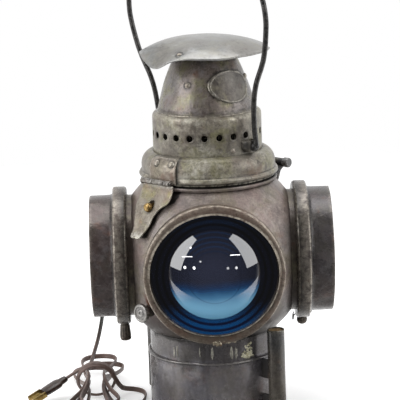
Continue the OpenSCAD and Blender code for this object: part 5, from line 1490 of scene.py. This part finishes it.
sealShape = dict(
    route=[(-8.4, 3, 2), (-8.6, 6, -0.5), (-8.9, 8, -3.5), (-9, 6.8, -6.2), (-8.9, 3.6, -5.8), (-8.5, 2.6, -2.8),
           (-7.6, 4.2, -1.1), (-4, 5.6, -0.5), (4, 5.6, -0.5), (7.6, 5.6, -0.9), (9.4, 5.4, 0.6), (10.6, 4.6, 3),
           (11.2, 3.8, 5)],
    radius=0.62, at=(91, 0, 95.4))


def buildSeal(shape):
    bm = wireMesh(smoothPath(shape["route"], 5), shape["radius"], 3)
    addPiece("sealWire", bm, "seal", replaced=["seal_wire"], place=Matrix.Translation(shape["at"]))


# Bare oval plate on the chimney
def buildBadge(shape):
    outline = []
    for (r0, h0), (r1, h1) in zip(shape["profile"], shape["profile"][1:]):
        outline += [(r0 + (r1 - r0) * k / 4, h0 + (h1 - h0) * k / 4) for k in range(4)]
    bm = lathe(outline + [shape["profile"][-1]], 120)
    wide, tall = shape["half"]
    for vert in bm.verts:
        across, up, rise = vert.co.x * wide, vert.co.y * tall, vert.co.z
        height = shape["level"] + up
        radius = chimneyRadius(height) + rise
        vert.co = Vector((math.sqrt(radius * radius - across * across), across, height))
    outwards(bm)
    weather(bm, shape["waves"])
    addPiece("badgePlate", bm, "badge", body="lid", replaced=["badge_plate"],
             place=around(shape["azimuth"]))


# Fork sockets with their rusty plugs

socketShape = dict(
    tube=[(7.75, 8.2), (7.9, 8), (8.6, 8), (8.75, 8.3), (8.75, 97.3), (8.4, 98), (7.9, 98), (7.75, 97.7)],
    plug=[(0, 97.2), (4, 97.1), (6.8, 96.9), (7.7, 96.6), (7.7, 95), (0, 95)], reach=86, tubeWaves=(0.25, 18),
    plugWaves=(0.3, 4))


def buildSockets(shape):
    plugs = []
    for azimuth, side in ((frontRight, "front"), (backLeft, "back")):
        place = turnZ(azimuth) @ Matrix.Translation((shape["reach"], 0, 0))
        tube = ringMesh(shape["tube"], 0.3, 2, 64)
        splitLong(tube, 20, 16)
        wobble(tube, *shape["tubeWaves"], azimuth)
        addPiece("forkSocket" + side.capitalize(), tube, "socket", replaced=["fork_socket_" + side],
                 place=place)
        plug = lathe(shape["plug"], 48)
        wobble(plug, *shape["plugWaves"], azimuth)
        plug.transform(place)
        plugs.append(plug)
    addPiece("socketPlugs", joinMeshes(plugs), "plugRust", replaced=["socket_plugs"])


# A crumbly heap of solder, wide at the seam and thin above
def crumbSpots(heap):
    order = random.Random(heap["seed"])
    spots = []
    for _ in range(heap["count"]):
        rise = order.random() ** 1.7
        foot = order.uniform(*heap["foot"])
        size = order.uniform(0.5, 1.5) * (1.15 - 0.55 * rise)
        azimuth = foot + (heap["peak"] - foot) * rise * heap["gather"]
        bend = heap["bend"] * (heap["radius"] * math.cos(math.radians(azimuth))) ** 2
        height = heap["low"] + (heap["high"] - heap["low"]) * rise + bend
        spots.append((heap["radius"], azimuth, height, size, size * order.uniform(0.7, 1.5)))
    return spots


def buildResidue(shape):
    base, bezel = (crumbSpots(heap) for heap in shape["heaps"])
    rows = (("solderChips", base, "solder", 0.6), ("bezelChips", bezel, "bezelChip", 0.6),
            ("solderDrips", shape["drips"], "drip", 0.5))
    for name, spots, finish, flat in rows:
        parts = []
        for i, (radius, azimuth, height, wide, tall) in enumerate(spots):
            bm = bmesh.new()
            bmesh.ops.create_icosphere(bm, subdivisions=3, radius=1)
            for vert in bm.verts:
                vert.co += noise.noise_vector(vert.co * 1.3 + Vector((i * 3.1, 0, 0))) * 0.5
            size = Matrix.Diagonal((flat, wide, tall, 1))
            bm.transform(turnZ(azimuth) @ Matrix.Translation((radius, 0, height)) @ size)
            parts.append(bm)
        addPiece(name, joinMeshes(parts), finish)
    r, a = shape["capRivet"]
    head = rivet(*shape["capRivetSize"], around(a) @ Matrix.Translation((r, 0, capHeight(capShape, r, a) + 0.1))
                 @ Matrix.Rotation(math.radians(shape["capRivetTilt"]), 4, "Y"))
    addPiece("capRivet", head, "rivet", body="lid")
    heads = [rivet(*shape["chimneyRivetSize"], outwardFrom(azimuth, chimneyRadius(height) - 0.1, 0, height))
             for azimuth, height in shape["chimneyRivets"]]
    x, z = shape["ventRivetAt"]
    heads += [rivet(*shape["ventRivetSize"], outwardFrom(azimuth, x, 0, z)) for azimuth in shape["ventRivets"]]
    addPiece("lidRivets", joinMeshes(heads), "rivet", body="lid", replaced=["lid_rivets"])


buildLatch(latchShape)
buildHasp(haspShape)
buildStud(studShape)
buildBail(bailShape)
buildEars(earShape)
buildTurned(turnedShape)
buildSeal(sealShape)
buildBadge(badgeShape)
buildSockets(socketShape)
buildResidue(residueShape)
print("fittings built")

# Finishes for the CAD pieces that are shown as they are

nodeFinishes = dict(
    base=["base_pan"], neck=["neck_front", "neck_right", "neck_back", "neck_left"], gasket=["lens_gaskets"],
    shadedWeb=["socket_webs"], hinge=["hinge_body_leaf", "hinge_lid_leaf", "knob_bush", "body_rivets", "wick_shaft"],
    holderSteel=["holder_plate"],
    holderBrass=["holder_nipple", "holder_nut", "holder_cap", "holder_shell"], bulbMetal=["bulb_cap"],
    frosted=["bulb_glass"], cord=["inner_lead"], relief=["strain_relief"], cap=["cap_legs"])


def frostedMaterial():
    material, tree, shader, place = newMaterial("frostedGlass")
    dust = ramp(tree, cloud(tree, place, 140, 5), 0.4, 0.7)
    setInputs(tree, shader, Base_Color=blendColors(tree, dust, tone(228, 226, 218), tone(204, 200, 190)),
              Roughness=ramp(tree, dust, 0, 1, 0.35, 0.5), Transmission_Weight=0.35)
    return material


materials["frosted"] = frostedMaterial()
for finish, nodes in nodeFinishes.items():
    for name in nodes:
        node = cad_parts[name]
        for slot in node.material_slots:
            slot.material = materials[finish]
print("CAD pieces finished")
